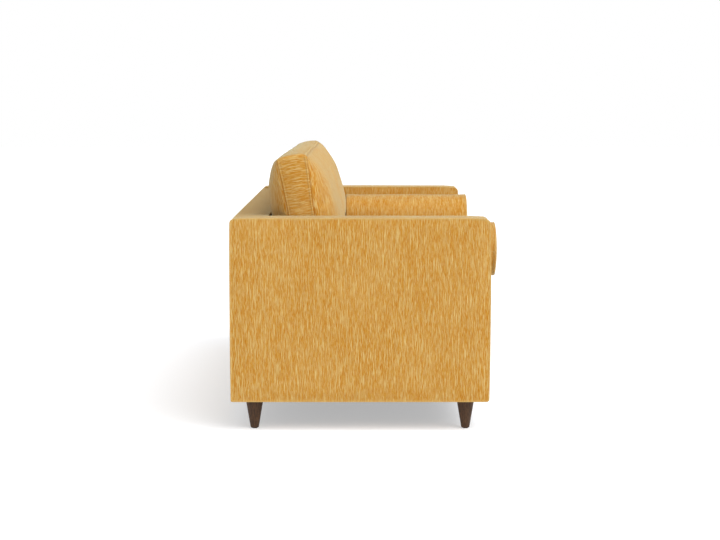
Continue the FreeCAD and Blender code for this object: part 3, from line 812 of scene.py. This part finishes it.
@dataclass
class SewnBlock:
    """A padded block sewn from two panels and the strip between them."""

    name: str
    low: Vector
    high: Vector
    face: Axis
    body: str
    stands_for: tuple[str, ...]
    pitch: float = 14 * MM
    radii: dict[tuple[int, int], float] = field(default_factory=dict)
    seam: Seam = field(default_factory=Seam)
    sideways: tuple[Axis, ...] = ()
    close_rows: tuple[float, ...] = SEAM_ROWS
    slot: str = "cover_fabric"
    fill: float = 0.7
    pressure: float = 0.0
    growth: float = 0.0
    cap: float = 6 * MM
    frames: int = 16
    lean: float = 0.0
    pivot: Vector = field(default_factory=Vector)

    @property
    def across(self) -> tuple[int, int]:
        """The two axes that the panels lie along."""
        first, second = [axis.value for axis in Axis if axis is not self.face]
        return first, second

    def rng(self) -> np.random.Generator:
        """Return this piece's own random source."""
        return np.random.default_rng(SEED + sum(map(ord, self.name)))

    def block_out(self) -> bpy.types.Object:
        """Model the flat pattern block, with cuts close to its seams.

        Returns:
            The new piece.
        """
        bench = Bench.block(self.name, self.low, self.high)
        first, second = self.across
        with bench.editing():
            for (side_a, side_b), radius in self.radii.items():
                ends = (self.low, self.high)
                corner = {first: ends[side_a][first], second: ends[side_b][second]}
                bench.pick("EDGE", lambda edge: self._is_corner(edge, corner))
                segments = max(3, round(radius / (3.5 * MM)))
                bpy.ops.mesh.bevel(offset=radius, segments=segments, affect="EDGES")
            done = 0.0
            for row in self.close_rows:
                bench.pick("FACE", self._is_panel)
                bpy.ops.mesh.inset(thickness=row - done, depth=0.0, use_even_offset=True)
                done = row
            for axis in Axis:
                rows = self.close_rows if axis is self.face else ()
                bench.cut(axis, steps(self.low[axis.value], self.high[axis.value], self.pitch, rows))
        return bench.piece

    @staticmethod
    def _is_corner(edge: bmesh.types.BMEdge, corner: dict[int, float]) -> bool:
        """Tell whether an edge runs along a corner of the block."""
        return all(abs(vert.co[axis] - spot) < 1e-5 for vert in edge.verts for axis, spot in corner.items())

    def _is_panel(self, face: bmesh.types.BMFace) -> bool:
        """Tell whether a face is the whole middle of one of the two panels.

        Args:
            face: The face.

        Returns:
            Whether it is.
        """
        if abs(face.normal[self.face.value]) < 0.99:
            return False
        middle, span = (self.low + self.high) / 2, self.high - self.low
        centre = face.calc_center_bounds()
        centred = all(abs(centre[axis] - middle[axis]) < 1e-4 for axis in self.across)
        return centred and face.calc_area() > 0.2 * span[self.across[0]] * span[self.across[1]]

    def tag(self, piece: bpy.types.Object) -> None:
        """Store the flat pattern place of each vertex and the cloth coordinates of each corner.

        Args:
            piece: The piece, still flat.
        """
        mesh = piece.data
        places = coordinates(piece)
        flat = mesh.attributes.new(FLAT_NAME, "FLOAT_VECTOR", "POINT")
        flat.data.foreach_set("vector", places.astype(np.float32).ravel())
        layer = mesh.uv_layers.new(name=UV_NAME)
        loops = np.zeros(len(mesh.loops), np.int64)
        mesh.loops.foreach_get("vertex_index", loops)
        starts, totals = np.zeros(len(mesh.polygons), np.int64), np.zeros(len(mesh.polygons), np.int64)
        mesh.polygons.foreach_get("loop_start", starts)
        mesh.polygons.foreach_get("loop_total", totals)
        facing = vectors(mesh.polygons, "normal")
        main = np.argmax(np.abs(facing), axis=1)
        axis = np.repeat(main, totals)
        sign = np.repeat(facing[np.arange(len(facing)), main] > 0, totals)
        order = np.repeat(starts, totals) + np.concatenate([np.arange(total) for total in totals])
        corner = places[loops[order]]
        out = np.zeros((len(loops), 2))
        rng = self.rng()
        for number, choice in enumerate(Axis):
            others = [item.value for item in Axis if item is not choice]
            width, length = others if choice not in self.sideways else others[::-1]
            for side in (False, True):
                here = (axis == number) & (sign == side)
                out[order[here]] = corner[here][:, [width, length]] + rng.uniform(-3, 3, 2)
        layer.data.foreach_set("uv", out.astype(np.float32).ravel())

    def seam_distance(self, flat: np.ndarray) -> tuple[np.ndarray, np.ndarray, np.ndarray]:
        """Measure the flat pattern from its seams.

        Args:
            flat: The flat places.

        Returns:
            The distance from the nearest seam, the run along it, and 1 on the strip or 0 on a panel.
        """
        low, high = np.array(self.low), np.array(self.high)
        axis = self.face.value
        depth = np.minimum(flat[:, axis] - low[axis], high[axis] - flat[:, axis])
        sides = [side for n in self.across for side in (flat[:, n] - low[n], high[n] - flat[:, n])]
        gaps = np.stack(sides, axis=1)
        first, second = self.across
        inside = gaps.min(axis=1)
        for (side_a, side_b), radius in self.radii.items():
            gap_a, gap_b = gaps[:, side_a], gaps[:, 2 + side_b]
            here = (gap_a < radius) & (gap_b < radius)
            rounded = radius - np.hypot(radius - gap_a, radius - gap_b)
            inside = np.where(here, rounded, inside)
        nearest = gaps.argmin(axis=1)
        run = np.where(nearest < 2, flat[:, second], flat[:, first]) + nearest * RUN_STEP
        distance = np.maximum(depth, inside)
        return distance, run, (depth > inside).astype(float)

    def form(self, flat: np.ndarray) -> np.ndarray:
        """Return where each point of the flat pattern goes in the filled piece."""
        return flat.copy()

    def held(self, flat: np.ndarray) -> np.ndarray:
        """Return how firmly each point is held while the piece fills, from 0 to 1."""
        distance, _, _ = self.seam_distance(flat)
        return 1.0 - smooth(distance, 0.5 * MM, 16 * MM)

    def inflate(self, piece: bpy.types.Object) -> None:
        """Fill the piece: run cloth under pressure, and keep each point near where it started.

        Args:
            piece: The formed piece.
        """
        start = coordinates(piece)
        weights = self.held(flat_places(piece))
        group = piece.vertex_groups.new(name="held")
        for level in np.unique(np.round(weights, 1)):
            members = np.nonzero(np.round(weights, 1) == level)[0]
            if level > 0:
                group.add(members.tolist(), float(level), "REPLACE")
        modifier = piece.modifiers.new("filling", "CLOTH")
        cloth = modifier.settings
        cloth.quality = 5
        cloth.mass = 0.35
        cloth.tension_stiffness = cloth.compression_stiffness = 18
        cloth.shear_stiffness = 8
        cloth.bending_stiffness = 0.6
        cloth.use_pressure = True
        cloth.uniform_pressure_force = self.pressure
        cloth.effector_weights.gravity = 0
        cloth.vertex_group_mass = group.name
        cloth.shrink_min = -self.growth
        modifier.collision_settings.use_collision = False
        modifier.point_cache.frame_start, modifier.point_cache.frame_end = 1, self.frames
        scene = bpy.context.scene
        for number in range(1, self.frames + 1):
            scene.frame_set(number)
        bpy.ops.object.select_all(action="DESELECT")
        bpy.context.view_layer.objects.active = piece
        bpy.ops.object.modifier_apply(modifier=modifier.name)
        scene.frame_set(1)
        piece.vertex_groups.clear()
        moved = coordinates(piece) - start
        size = np.linalg.norm(moved, axis=1, keepdims=True)
        put(piece, start + moved * np.minimum(1.0, self.cap / np.maximum(size, 1e-9)))

    def refine(self, piece: bpy.types.Object) -> None:
        """Subdivide the piece once, press the seams and puckers into it, and store the shade and highlight
        painted along the seams.

        Args:
            piece: The filled piece.
        """
        modifier = piece.modifiers.new("refine", "SUBSURF")
        modifier.levels = modifier.render_levels = 1
        bpy.context.view_layer.objects.active = piece
        bpy.ops.object.modifier_apply(modifier=modifier.name)
        distance, run, on_band = self.seam_distance(flat_places(piece))
        relief = self.seam.relief(distance, run, on_band, self.rng())
        put(piece, coordinates(piece) + normals(piece) * relief[:, None])
        mark(piece, self.seam.marks(distance, run, on_band))

    def leant(self, piece: bpy.types.Object) -> None:
        """Turn the piece back about its pivot by its lean.

        Args:
            piece: The upright piece.
        """
        if not self.lean:
            return
        places = coordinates(piece) - np.array(self.pivot)
        sine, cosine = math.sin(self.lean), math.cos(self.lean)
        turned = places.copy()
        turned[:, 1] = places[:, 1] * cosine + places[:, 2] * sine
        turned[:, 2] = places[:, 2] * cosine - places[:, 1] * sine
        put(piece, turned + np.array(self.pivot))

    def make(self, finishes: Finishes) -> bpy.types.Object:
        """Model, fill, sew and dress the piece.

        Args:
            finishes: The finishes.

        Returns:
            The finished piece.
        """
        piece = self.block_out()
        self.tag(piece)
        put(piece, self.form(flat_places(piece)))
        if self.pressure:
            self.inflate(piece)
        self.refine(piece)
        self.leant(piece)
        bpy.ops.object.select_all(action="DESELECT")
        piece.select_set(True)
        bpy.context.view_layer.objects.active = piece
        bpy.ops.object.shade_smooth()
        dress(piece, finishes, self.slot, self.body, self.stands_for)
        return piece


@dataclass
class FixedPad(SewnBlock):
    """Upholstery fixed to the frame: two panels, and one strip round them."""

    crown: float = 4 * MM
    top_crown: float = 3 * MM
    front_bow: float = 4.5 * MM
    rear_bow: float = 2.5 * MM
    fullest: float = 0.66
    worn_corner: float = 2.5 * MM

    def form(self, flat: np.ndarray) -> np.ndarray:
        """Return the padded shape.

        Args:
            flat: The flat places.

        Returns:
            The new places.
        """
        low, high = np.array(self.low), np.array(self.high)
        span = high - low
        out = flat.copy()
        edges = [np.minimum(flat[:, n] - low[n], high[n] - flat[:, n]) for n in range(3)]
        reach = [dome(edges[n] / (0.5 * span[n]), 0.8) for n in range(3)]
        up = (flat[:, 2] - low[2]) / span[2]
        lower, upper_part = dome(up / self.fullest, 1.0), dome((1 - up) / (1 - self.fullest), 0.6)
        bow = np.where(up < self.fullest, lower, upper_part)
        bows = {
            self.face.value: (self.crown, self.crown),
            2: (0.0, self.top_crown),
            0 if self.face is Axis.Y else 1: (self.front_bow, self.rear_bow),
        }
        for axis, (below, above) in bows.items():
            others = [number for number in range(3) if number != axis]
            upper = flat[:, axis] > (low + high)[axis] / 2
            near = np.minimum(flat[:, axis] - low[axis], high[axis] - flat[:, axis])
            swell = np.where(upper, above, -below) * (1 - smooth(near, 0.0, 30 * MM))
            spread = reach[others[0]] * reach[others[1]]
            if axis not in (2, self.face.value):
                spread = bow * (0.7 + 0.3 * reach[self.face.value])
            out[:, axis] += swell * spread
        if self.face is Axis.X:
            worn = (1 - smooth(edges[1], 0.0, 70 * MM)) * smooth(flat[:, 2], high[2] - 60 * MM, high[2])
            out[:, 2] -= self.worn_corner * worn * np.where(flat[:, 1] < 0, 1.0, 0.6)
        return out


@dataclass
class BackCushion(SewnBlock):
    """A loose back cushion, swollen at the front and rear, leaning back."""

    front_crown: float = 69 * MM
    rear_crown: float = 57 * MM
    strip_crown: float = 11 * MM
    side_reach: float = 140 * MM
    ear: float = 4 * MM
    flare: float = 3 * MM
    belly: float = 11 * MM
    belly_height: float = 125 * MM
    belly_reach: float = 150 * MM
    front_powers: tuple[float, float] = (0.26, 0.70)
    rear_powers: tuple[float, float] = (0.40, 0.42)
    rise: float = 0.0

    def form(self, flat: np.ndarray) -> np.ndarray:
        """Return the cushion's filled shape.

        Args:
            flat: The flat places.

        Returns:
            The new places.
        """
        low, high = np.array(self.low), np.array(self.high)
        out = flat.copy()
        middle = (low + high) / 2
        height = high[2] - low[2]
        below, above = flat[:, 2] - low[2], high[2] - flat[:, 2]
        aside = np.minimum(flat[:, 0] - low[0], high[0] - flat[:, 0])
        lower, upper = below / (0.5 * height), above / (0.5 * height)
        front, rear = [
            np.where(below < above, dome(lower, powers[0]), dome(upper, powers[1]))
            for powers in (self.front_powers, self.rear_powers)
        ]
        sideways = dome(aside / self.side_reach, 0.62)
        through = (flat[:, 1] - middle[1]) / (high[1] - low[1]) * 2
        belly = self.belly * (1 - smooth(np.abs(below - self.belly_height), 0.0, self.belly_reach))
        crown = np.where(through > 0, self.rear_crown * rear, -self.front_crown * front - belly)
        out[:, 1] += crown * sideways * np.abs(through) ** 3
        out[:, 1] += through * self.flare * (2 * smooth(below, 0.5 * height, height) - 1)
        across_strip = 1 - through**2
        top = smooth(flat[:, 2], high[2] - 40 * MM, high[2])
        end = dome(aside / (30 * MM), 0.5)
        strip = (1 - through**4) * (0.95 - 0.1 * through)
        out[:, 2] += self.strip_crown * strip * top * (0.4 + 0.6 * end)
        out[:, 2] += self.rise * smooth(below, 0.0, height)
        side = np.sign(flat[:, 0] - middle[0])
        edge = 1 - smooth(aside, 0.0, 40 * MM)
        out[:, 0] += side * (edge * (4 * MM * across_strip - 4 * MM)) * dome(below / (0.3 * height), 0.6)
        corner = smooth(flat[:, 2], high[2] - 90 * MM, high[2]) * (1 - smooth(aside, 0.0, 90 * MM))
        out[:, 1] += self.ear * corner * (through > 0) * np.abs(through)
        return out


@dataclass
class SeatCushion(SewnBlock):
    """A loose seat cushion with a low crown on its top."""

    crown: float = 7 * MM
    strip_crown: float = 3 * MM

    def form(self, flat: np.ndarray) -> np.ndarray:
        """Return the cushion's filled shape.

        Args:
            flat: The flat places.

        Returns:
            The new places.
        """
        low, high = np.array(self.low), np.array(self.high)
        out = flat.copy()
        reach = [np.minimum(flat[:, n] - low[n], high[n] - flat[:, n]) for n in range(3)]
        swell = dome(reach[0] / (120 * MM), 0.7) * dome(reach[1] / (120 * MM), 0.7)
        top = smooth(flat[:, 2], high[2] - 30 * MM, high[2])
        out[:, 2] += self.crown * swell * top
        mid = dome(reach[2] / (0.5 * (high[2] - low[2])), 0.8)
        for axis in (0, 1):
            side = np.sign(flat[:, axis] - (low + high)[axis] / 2)
            other = dome(reach[1 - axis] / (100 * MM), 0.8)
            edge = 1 - smooth(reach[axis], 0.0, 30 * MM)
            out[:, axis] += side * edge * (self.strip_crown * mid - 3 * MM) * other
        return out


@dataclass
class Bolster:
    """A round bolster, sewn from a barrel and two domed ends."""

    name: str
    low: Vector
    high: Vector
    body: str
    stands_for: tuple[str, ...]
    dome_rise: float = 8 * MM
    proud: float = 2 * MM
    slack: float = 1.2 * MM
    pinch: float = 0.5 * MM
    rings: tuple[float, ...] = (*SEAM_ROWS, *(row * MM for row in (22, 30, 39, 48, 57, 66, 74, 81, 87)))
    sides: int = 120
    pitch: float = 8 * MM
    # depth 0.6 weakens the painted seam shade and highlight.
    seam: Seam = field(default_factory=lambda: Seam(pucker=0.6 * MM, depth=0.6))

    def make(self, finishes: Finishes) -> bpy.types.Object:
        """Model and dress the bolster.

        Args:
            finishes: The finishes.

        Returns:
            The finished piece.
        """
        centre, span = (self.low + self.high) / 2, self.high - self.low
        radius, length = span.x / 2, span.y - 2 * self.dome_rise + self.proud
        ends = (centre.y - length / 2, centre.y + length / 2)
        piece = self._block_out(centre, radius, ends)
        places = coordinates(piece)
        self._tag(piece, places, centre, radius)
        reach = np.hypot(places[:, 0] - centre.x, places[:, 2] - centre.z)
        depth = np.minimum(places[:, 1] - ends[0], ends[1] - places[:, 1])
        angle = np.arctan2(places[:, 2] - centre.z, places[:, 0] - centre.x)
        put(piece, self._form(places, centre, radius, reach, depth, angle))
        distance, run = np.maximum(depth, radius - reach), angle * radius
        on_barrel = (depth > 1e-5).astype(float)
        rng = np.random.default_rng(SEED + sum(map(ord, self.name)))
        relief = self.seam.relief(distance, run, on_barrel, rng)
        put(piece, coordinates(piece) + normals(piece) * relief[:, None])
        # Store the painted seam shade and highlight.
        mark(piece, self.seam.marks(distance, run, on_barrel))
        bpy.ops.object.shade_smooth()
        dress(piece, finishes, "cover_fabric", self.body, self.stands_for)
        return piece

    def _block_out(self, centre: Vector, radius: float, ends: tuple[float, float]) -> bpy.types.Object:
        """Model the plain barrel, with rings on its ends and cuts along it.

        Args:
            centre: The bolster's middle.
            radius: Its radius.
            ends: Where the barrel ends.

        Returns:
            The new piece.
        """
        bench = Bench.barrel(self.name, centre, radius, ends[1] - ends[0], self.sides)
        with bench.editing():
            done = 0.0
            for row in self.rings:
                bench.pick("FACE", lambda face: abs(face.normal.y) > 0.99 and len(face.verts) > 8)
                bpy.ops.mesh.inset(thickness=row - done, depth=0.0)
                done = row
            bench.cut(Axis.Y, steps(*ends, self.pitch, SEAM_ROWS))
        return bench.piece

    def _form(
        self,
        places: np.ndarray,
        centre: Vector,
        radius: float,
        reach: np.ndarray,
        depth: np.ndarray,
        angle: np.ndarray,
    ) -> np.ndarray:
        """Dome the ends and slacken the barrel.

        Args:
            places: The points of the plain barrel.
            centre: Its middle.
            radius: Its radius.
            reach: How far each point is from the axis.
            depth: How far each point is from the nearer end.
            angle: Each point's angle about the axis.

        Returns:
            The new places.
        """
        formed = places.copy()
        side = np.sign(places[:, 1] - centre.y)
        share = np.clip(1 - (reach / radius) ** 2, 0.0, 1.0)
        formed[:, 1] += side * self.dome_rise * share**0.8 * (depth < 1e-5)
        slack = self.slack * (np.sin(angle * 2 + 0.7) + 0.6 * np.sin(places[:, 1] * 17 + angle * 3))
        pinch = -self.pinch * (1 - smooth(depth, 0.0, 40 * MM))
        factor = 1 + (pinch + slack * smooth(depth, 0.0, 60 * MM) - self.pinch) / radius
        formed[:, 0] = centre.x + (formed[:, 0] - centre.x) * factor
        formed[:, 2] = centre.z + (formed[:, 2] - centre.z) * factor
        return formed

    @staticmethod
    def _tag(piece: bpy.types.Object, places: np.ndarray, centre: Vector, radius: float) -> None:
        """Give the barrel and the ends their cloth coordinates.

        Args:
            piece: The piece.
            places: The points of the plain barrel.
            centre: Its middle.
            radius: Its radius.
        """
        layer = piece.data.uv_layers.new(name=UV_NAME)
        for polygon in piece.data.polygons:
            end = abs(polygon.normal.y) > 0.7
            middle = math.atan2(polygon.center.z - centre.z, polygon.center.x - centre.x)
            for loop in polygon.loop_indices:
                x, y, z = places[piece.data.loops[loop].vertex_index]
                if end:
                    layer.data[loop].uv = (x + 5.0 * polygon.normal.y, z)
                    continue
                turn = math.atan2(z - centre.z, x - centre.x)
                turn += math.tau * round((middle - turn) / math.tau)
                layer.data[loop].uv = (y + centre.x, turn * radius)


@dataclass
class UndersideCloth:
    """The thin black cloth under the frame, cut out round the legs and sagging a little."""

    name: str = "underside_cloth"
    thickness: float = 0.6 * MM
    sag: float = 5 * MM
    ripple: float = 0.6 * MM
    pitch: float = 30 * MM
    play: float = 2 * MM
    legs: tuple[str, ...] = ("leg_front_left", "leg_front_right", "leg_rear_left", "leg_rear_right")

    def make(self, finishes: Finishes) -> bpy.types.Object:
        """Model and dress the cloth.

        Args:
            finishes: The finishes.

        Returns:
            The finished piece.
        """
        low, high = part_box("dust_cover")
        high = Vector((high.x, high.y, high.z - 0.2 * MM))
        bench = Bench.block(self.name, Vector((low.x, low.y, high.z - self.thickness)), high)
        piece = bench.piece
        with bench.editing():
            bench.cut(Axis.X, steps(low.x, high.x, self.pitch))
            bench.cut(Axis.Y, steps(low.y, high.y, self.pitch))
        for leg in self.legs:
            self._cut_out(piece, *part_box(leg))
        places = coordinates(piece)
        inward = [np.minimum(places[:, n] - low[n], high[n] - places[:, n]) for n in (0, 1)]
        slack = dome(inward[0] / 0.5, 0.8) * dome(inward[1] / 0.25, 0.8)
        wave = np.sin(places[:, 0] * 21 + 2.0 * np.sin(places[:, 1] * 9))
        ripple = self.ripple * wave * dome(inward[1] / 0.08, 1.0)
        places[:, 2] -= self.sag * slack + ripple * slack
        put(piece, places)
        bpy.ops.object.shade_smooth_by_angle(angle=math.radians(40))
        dress(piece, finishes, "dust_cloth", "frame", ("dust_cover",))
        return piece

    def _cut_out(self, piece: bpy.types.Object, low: Vector, high: Vector) -> None:
        """Cut a round hole for a leg.

        Args:
            piece: The cloth.
            low: The leg's lowest corner.
            high: The leg's highest corner.
        """
        bpy.ops.object.select_all(action="DESELECT")
        centre = (low + high) / 2
        radius, place = (high.x - low.x) / 2 + self.play, (centre.x, centre.y, high.z)
        bpy.ops.mesh.primitive_cylinder_add(vertices=32, radius=radius, depth=0.05, location=place)
        cutter = bpy.context.active_object
        hole = piece.modifiers.new("hole", "BOOLEAN")
        hole.object, hole.operation, hole.solver = cutter, "DIFFERENCE", "EXACT"
        bpy.ops.object.select_all(action="DESELECT")
        bpy.context.view_layer.objects.active = piece
        bpy.ops.object.modifier_apply(modifier=hole.name)
        bpy.data.objects.remove(cutter, do_unlink=True)
        piece.select_set(True)


# --------------------------------------------------------------------------- the studio
@dataclass
class Studio:
    """A plain pale floor, soft light and the camera."""

    lens: float = 90.75
    sensor: float = 36.0
    far: float = 200.0
    sofa_end: float = -1.067
    distance: float = 5.9
    height: float = 1.111
    tilt: float = 5.567
    body_middle: float = 0.018
    glow: float = 0.41
    room: float = 1.0
    ceiling: float = 0.72

    def build(self) -> None:
        """Build the floor, the lights and the camera."""
        scene = bpy.context.scene
        scene.view_settings.view_transform = "Standard"
        self._floor()
        self._world(scene)
        self._sun("key", Vector((-0.50, -0.46, 0.74)), 2.8, 52.0)
        self._panel("fill", Vector((-0.60, -1.40, 1.95)), Vector((0.90, -0.10, 0.60)), 1.2, 11.0)
        self._camera(scene)

    def _floor(self) -> None:
        """Add the floor."""
        bpy.ops.object.select_all(action="DESELECT")
        bpy.ops.mesh.primitive_grid_add(x_subdivisions=4, y_subdivisions=4, size=60.0)
        floor = bpy.context.active_object
        floor.name = "studio_floor"
        graph = Graph("studio_paper")
        mottle = graph.noise(graph.place(), (0.6, 0.6, 0.6), 0.0, 1.0)
        colour = graph.mix(mottle, (0.60, 0.61, 0.63), (0.62, 0.63, 0.65))
        white = (1.0, 1.0, 1.0, 1.0)
        glow = {"Specular IOR Level": 0.0, "Emission Color": white, "Emission Strength": self.glow}
        floor.data.materials.append(graph.surface(colour, 0.95, None, 0.0, glow))

    def _world(self, scene: bpy.types.Scene) -> None:
        """Light the room white at the level of the eye, and a little less overhead.

        Args:
            scene: The scene.
        """
        world = bpy.data.worlds.new("studio_room")
        graph = Graph(world.name, world)
        direction = graph.node("ShaderNodeTexCoord", {}, {}, "Generated")
        up = graph.node("ShaderNodeSeparateXYZ", {}, {0: direction}, 2)
        shade = graph.mix(up.between(0.20, 0.62), (1.0, 1.0, 1.0), (self.ceiling,) * 3)
        light = graph.node("ShaderNodeBackground", {}, {"Color": shade, "Strength": self.room})
        graph.close("ShaderNodeOutputWorld", light)
        scene.world = world

    @staticmethod
    def _sun(name: str, towards: Vector, power: float, spread: float) -> None:
        """Add one wide soft light, as from a large window.

        Args:
            name: The light's name.
            towards: The direction that the light comes from.
            power: Its strength.
            spread: How wide it looks, in degrees.
        """
        data = bpy.data.lights.new(name, "SUN")
        data.energy, data.angle = power, math.radians(spread)
        lamp = bpy.data.objects.new(name, data)
        lamp.rotation_euler = towards.to_track_quat("Z", "Y").to_euler()
        bpy.context.scene.collection.objects.link(lamp)

    @staticmethod
    def _panel(name: str, place: Vector, target: Vector, size: float, power: float) -> None:
        """Add one square light panel over the seat.

        Args:
            name: The light's name.
            place: Where it hangs.
            target: The point that it faces.
            size: Its width.
            power: Its strength.
        """
        data = bpy.data.lights.new(name, "AREA")
        data.shape, data.size, data.energy = "SQUARE", size, power
        lamp = bpy.data.objects.new(name, data)
        lamp.location = place
        lamp.rotation_euler = (place - target).to_track_quat("Z", "Y").to_euler()
        lamp.visible_camera = False
        bpy.context.scene.collection.objects.link(lamp)

    def _camera(self, scene: bpy.types.Scene) -> None:
        """Add the camera, looking along the sofa from its left end.

        Args:
            scene: The scene.
        """
        data = bpy.data.cameras.new("camera")
        data.lens, data.sensor_width, data.clip_end = self.lens, self.sensor, self.far
        camera = bpy.data.objects.new("camera", data)
        camera.location = (self.sofa_end - self.distance, self.body_middle, self.height)
        camera.rotation_euler = (math.radians(90.0 - self.tilt), 0.0, math.radians(-90.0))
        scene.collection.objects.link(camera)
        scene.camera = camera


# --------------------------------------------------------------------------- the sofa
@dataclass
class Sofa:
    """Every visible soft piece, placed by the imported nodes."""

    finishes: Finishes
    lean: float = math.radians(9.0)
    cushion_setback: float = 0.146
    seat_top: float = 0.496
    half_depth: float = 0.045
    cushion_height: float = 0.398
    sunk: float = 8 * MM
    rises: dict[str, float] = field(default_factory=lambda: {"left": 1.5 * MM, "right": -4 * MM})

    def build(self) -> list[bpy.types.Object]:
        """Build the pieces in order.

        Returns:
            The finished pieces.
        """
        made = []
        for side in ("left", "right"):
            made += [self.arm(side), self.seat_cushion(side), self.back_cushion(side), self.bolster(side)]
        made += [self.back(), self.border(), self.deck(), self.underside()]
        return made

    def arm(self, side: str) -> bpy.types.Object:
        """Build one arm's upholstery."""
        low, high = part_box(f"{side}_arm_cover")
        return FixedPad(
            f"{side}_arm_upholstery",
            low,
            high,
            Axis.X,
            "frame",
            (f"{side}_arm_cover", f"{side}_arm_padding"),
            pitch=15 * MM,
            radii={(0, 1): 16 * MM, (1, 1): 13 * MM, (0, 0): 8 * MM, (1, 0): 4 * MM},
            seam=self.welt(0.5 * MM),
            fill=0.85,
            pressure=3.0,
            cap=2.5 * MM,
            frames=10,
        ).make(self.finishes)

    @staticmethod
    def welt(pucker: float) -> Seam:
        """Return the raised edge seam of the fixed upholstery, with a painted highlight along its bead."""
        return Seam(
            groove=-1.0 * MM,
            groove_width=3.0 * MM,
            band=0.0,
            band_width=5 * MM,
            stitch_groove=0.0,
            pucker=pucker,
            # depth weakens the painted seam shade, and lit_edge paints a highlight along the welt's bead.
            depth=0.25,
            lit_edge=0.55,
        )

    def seat_cushion(self, side: str) -> bpy.types.Object:
        """Build one seat cushion."""
        low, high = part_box(f"{side}_seat_cushion_cover")
        high = Vector((high.x, high.y, high.z - self.sunk))
        corners = {(a, b): 20 * MM for a in (0, 1) for b in (0, 1)}
        return SeatCushion(
            f"{side}_seat_cushion",
            low,
            high,
            Axis.Z,
            f"{side}_seat_cushion",
            (f"{side}_seat_cushion_cover", f"{side}_seat_cushion_core"),
            pitch=14 * MM,
            radii=corners,
            pressure=2.0,
            cap=3 * MM,
            frames=12,
            fill=0.85,
        ).make(self.finishes)

    def back_cushion(self, side: str) -> bpy.types.Object:
        """Build one back cushion upright, then lean it back."""
        low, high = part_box(f"{side}_back_cushion_cover")
        foot_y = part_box("back_cover")[0].y - self.cushion_setback
        foot = Vector((0.0, foot_y, self.seat_top + self.half_depth * math.sin(self.lean)))
        return BackCushion(
            f"{side}_back_cushion",
            Vector((low.x, foot.y - self.half_depth, foot.z + 1 * MM)),
            Vector((high.x, foot.y + self.half_depth, foot.z + self.cushion_height)),
            Axis.Y,
            f"{side}_back_cushion",
            (f"{side}_back_cushion_cover", f"{side}_back_cushion_core"),
            pitch=11 * MM,
            radii={(a, b): 9 * MM for b in (1, 0) for a in (0, 1)},
            sideways=(Axis.X,),
            pressure=3.0,
            growth=0.01,
            cap=6 * MM,
            frames=18,
            fill=0.8,
            rise=self.rises[side],
            lean=self.lean,
            pivot=foot,
        ).make(self.finishes)

    def bolster(self, side: str) -> bpy.types.Object:
        """Build one bolster."""
        low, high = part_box(f"{side}_bolster_cover")
        return Bolster(
            f"{side}_bolster", low, high, f"{side}_bolster", (f"{side}_bolster_cover", f"{side}_bolster_core")
        ).make(self.finishes)

    def back(self) -> bpy.types.Object:
        """Build the upholstery of the back frame."""
        low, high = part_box("back_cover")
        return FixedPad(
            "back_upholstery",
            low,
            high,
            Axis.Y,
            "frame",
            ("back_cover", "back_padding"),
            pitch=22 * MM,
            seam=self.welt(0.4 * MM),
            crown=3 * MM,
            top_crown=2 * MM,
            front_bow=0.0,
            rear_bow=0.0,
            fill=0.8,
        ).make(self.finishes)

    def border(self) -> bpy.types.Object:
        """Build the upholstered front border."""
        low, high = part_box("front_border_cover")
        return FixedPad(
            "front_border",
            low,
            high,
            Axis.Y,
            "frame",
            ("front_border_cover", "front_border_padding"),
            pitch=22 * MM,
            seam=Seam(groove=1.0 * MM, band=0.4 * MM, stitch_groove=0.0, pucker=0.4 * MM),
            crown=2.5 * MM,
            top_crown=0.5 * MM,
            front_bow=0.0,
            rear_bow=0.0,
            fill=0.7,
        ).make(self.finishes)

    def deck(self) -> bpy.types.Object:
        """Build the padded deck under the seat cushions."""
        low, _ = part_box("deck_pad")
        _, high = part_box("deck_cloth")
        return FixedPad(
            "seat_deck",
            low,
            high,
            Axis.Z,
            "frame",
            ("deck_pad", "deck_cloth"),
            pitch=40 * MM,
            close_rows=(2 * MM, 5 * MM),
            seam=Seam(groove=0.5 * MM, band=0.0, stitch_groove=0.0, pucker=0.0),
            crown=0.0,
            top_crown=0.0,
            front_bow=0.0,
            rear_bow=0.0,
            slot="deck_lining",
            fill=0.4,
        ).make(self.finishes)

    def underside(self) -> bpy.types.Object:
        """Build the black cloth stapled under the frame."""
        return UndersideCloth().make(self.finishes)


def corners(bounds: Iterable) -> list[list[float]]:
    """Return a box as plain lists of numbers."""
    return [[float(number) for number in corner] for corner in bounds]


def main() -> None:
    """Load the frame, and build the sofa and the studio."""
    logging.basicConfig(level=logging.INFO, format="%(name)s: %(message)s")
    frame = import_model()
    finishes = Finishes()
    finishes.dress_frame(frame)
    Studio().build()
    Sofa(finishes).build()
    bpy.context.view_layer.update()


if __name__ == "__main__":
    main()
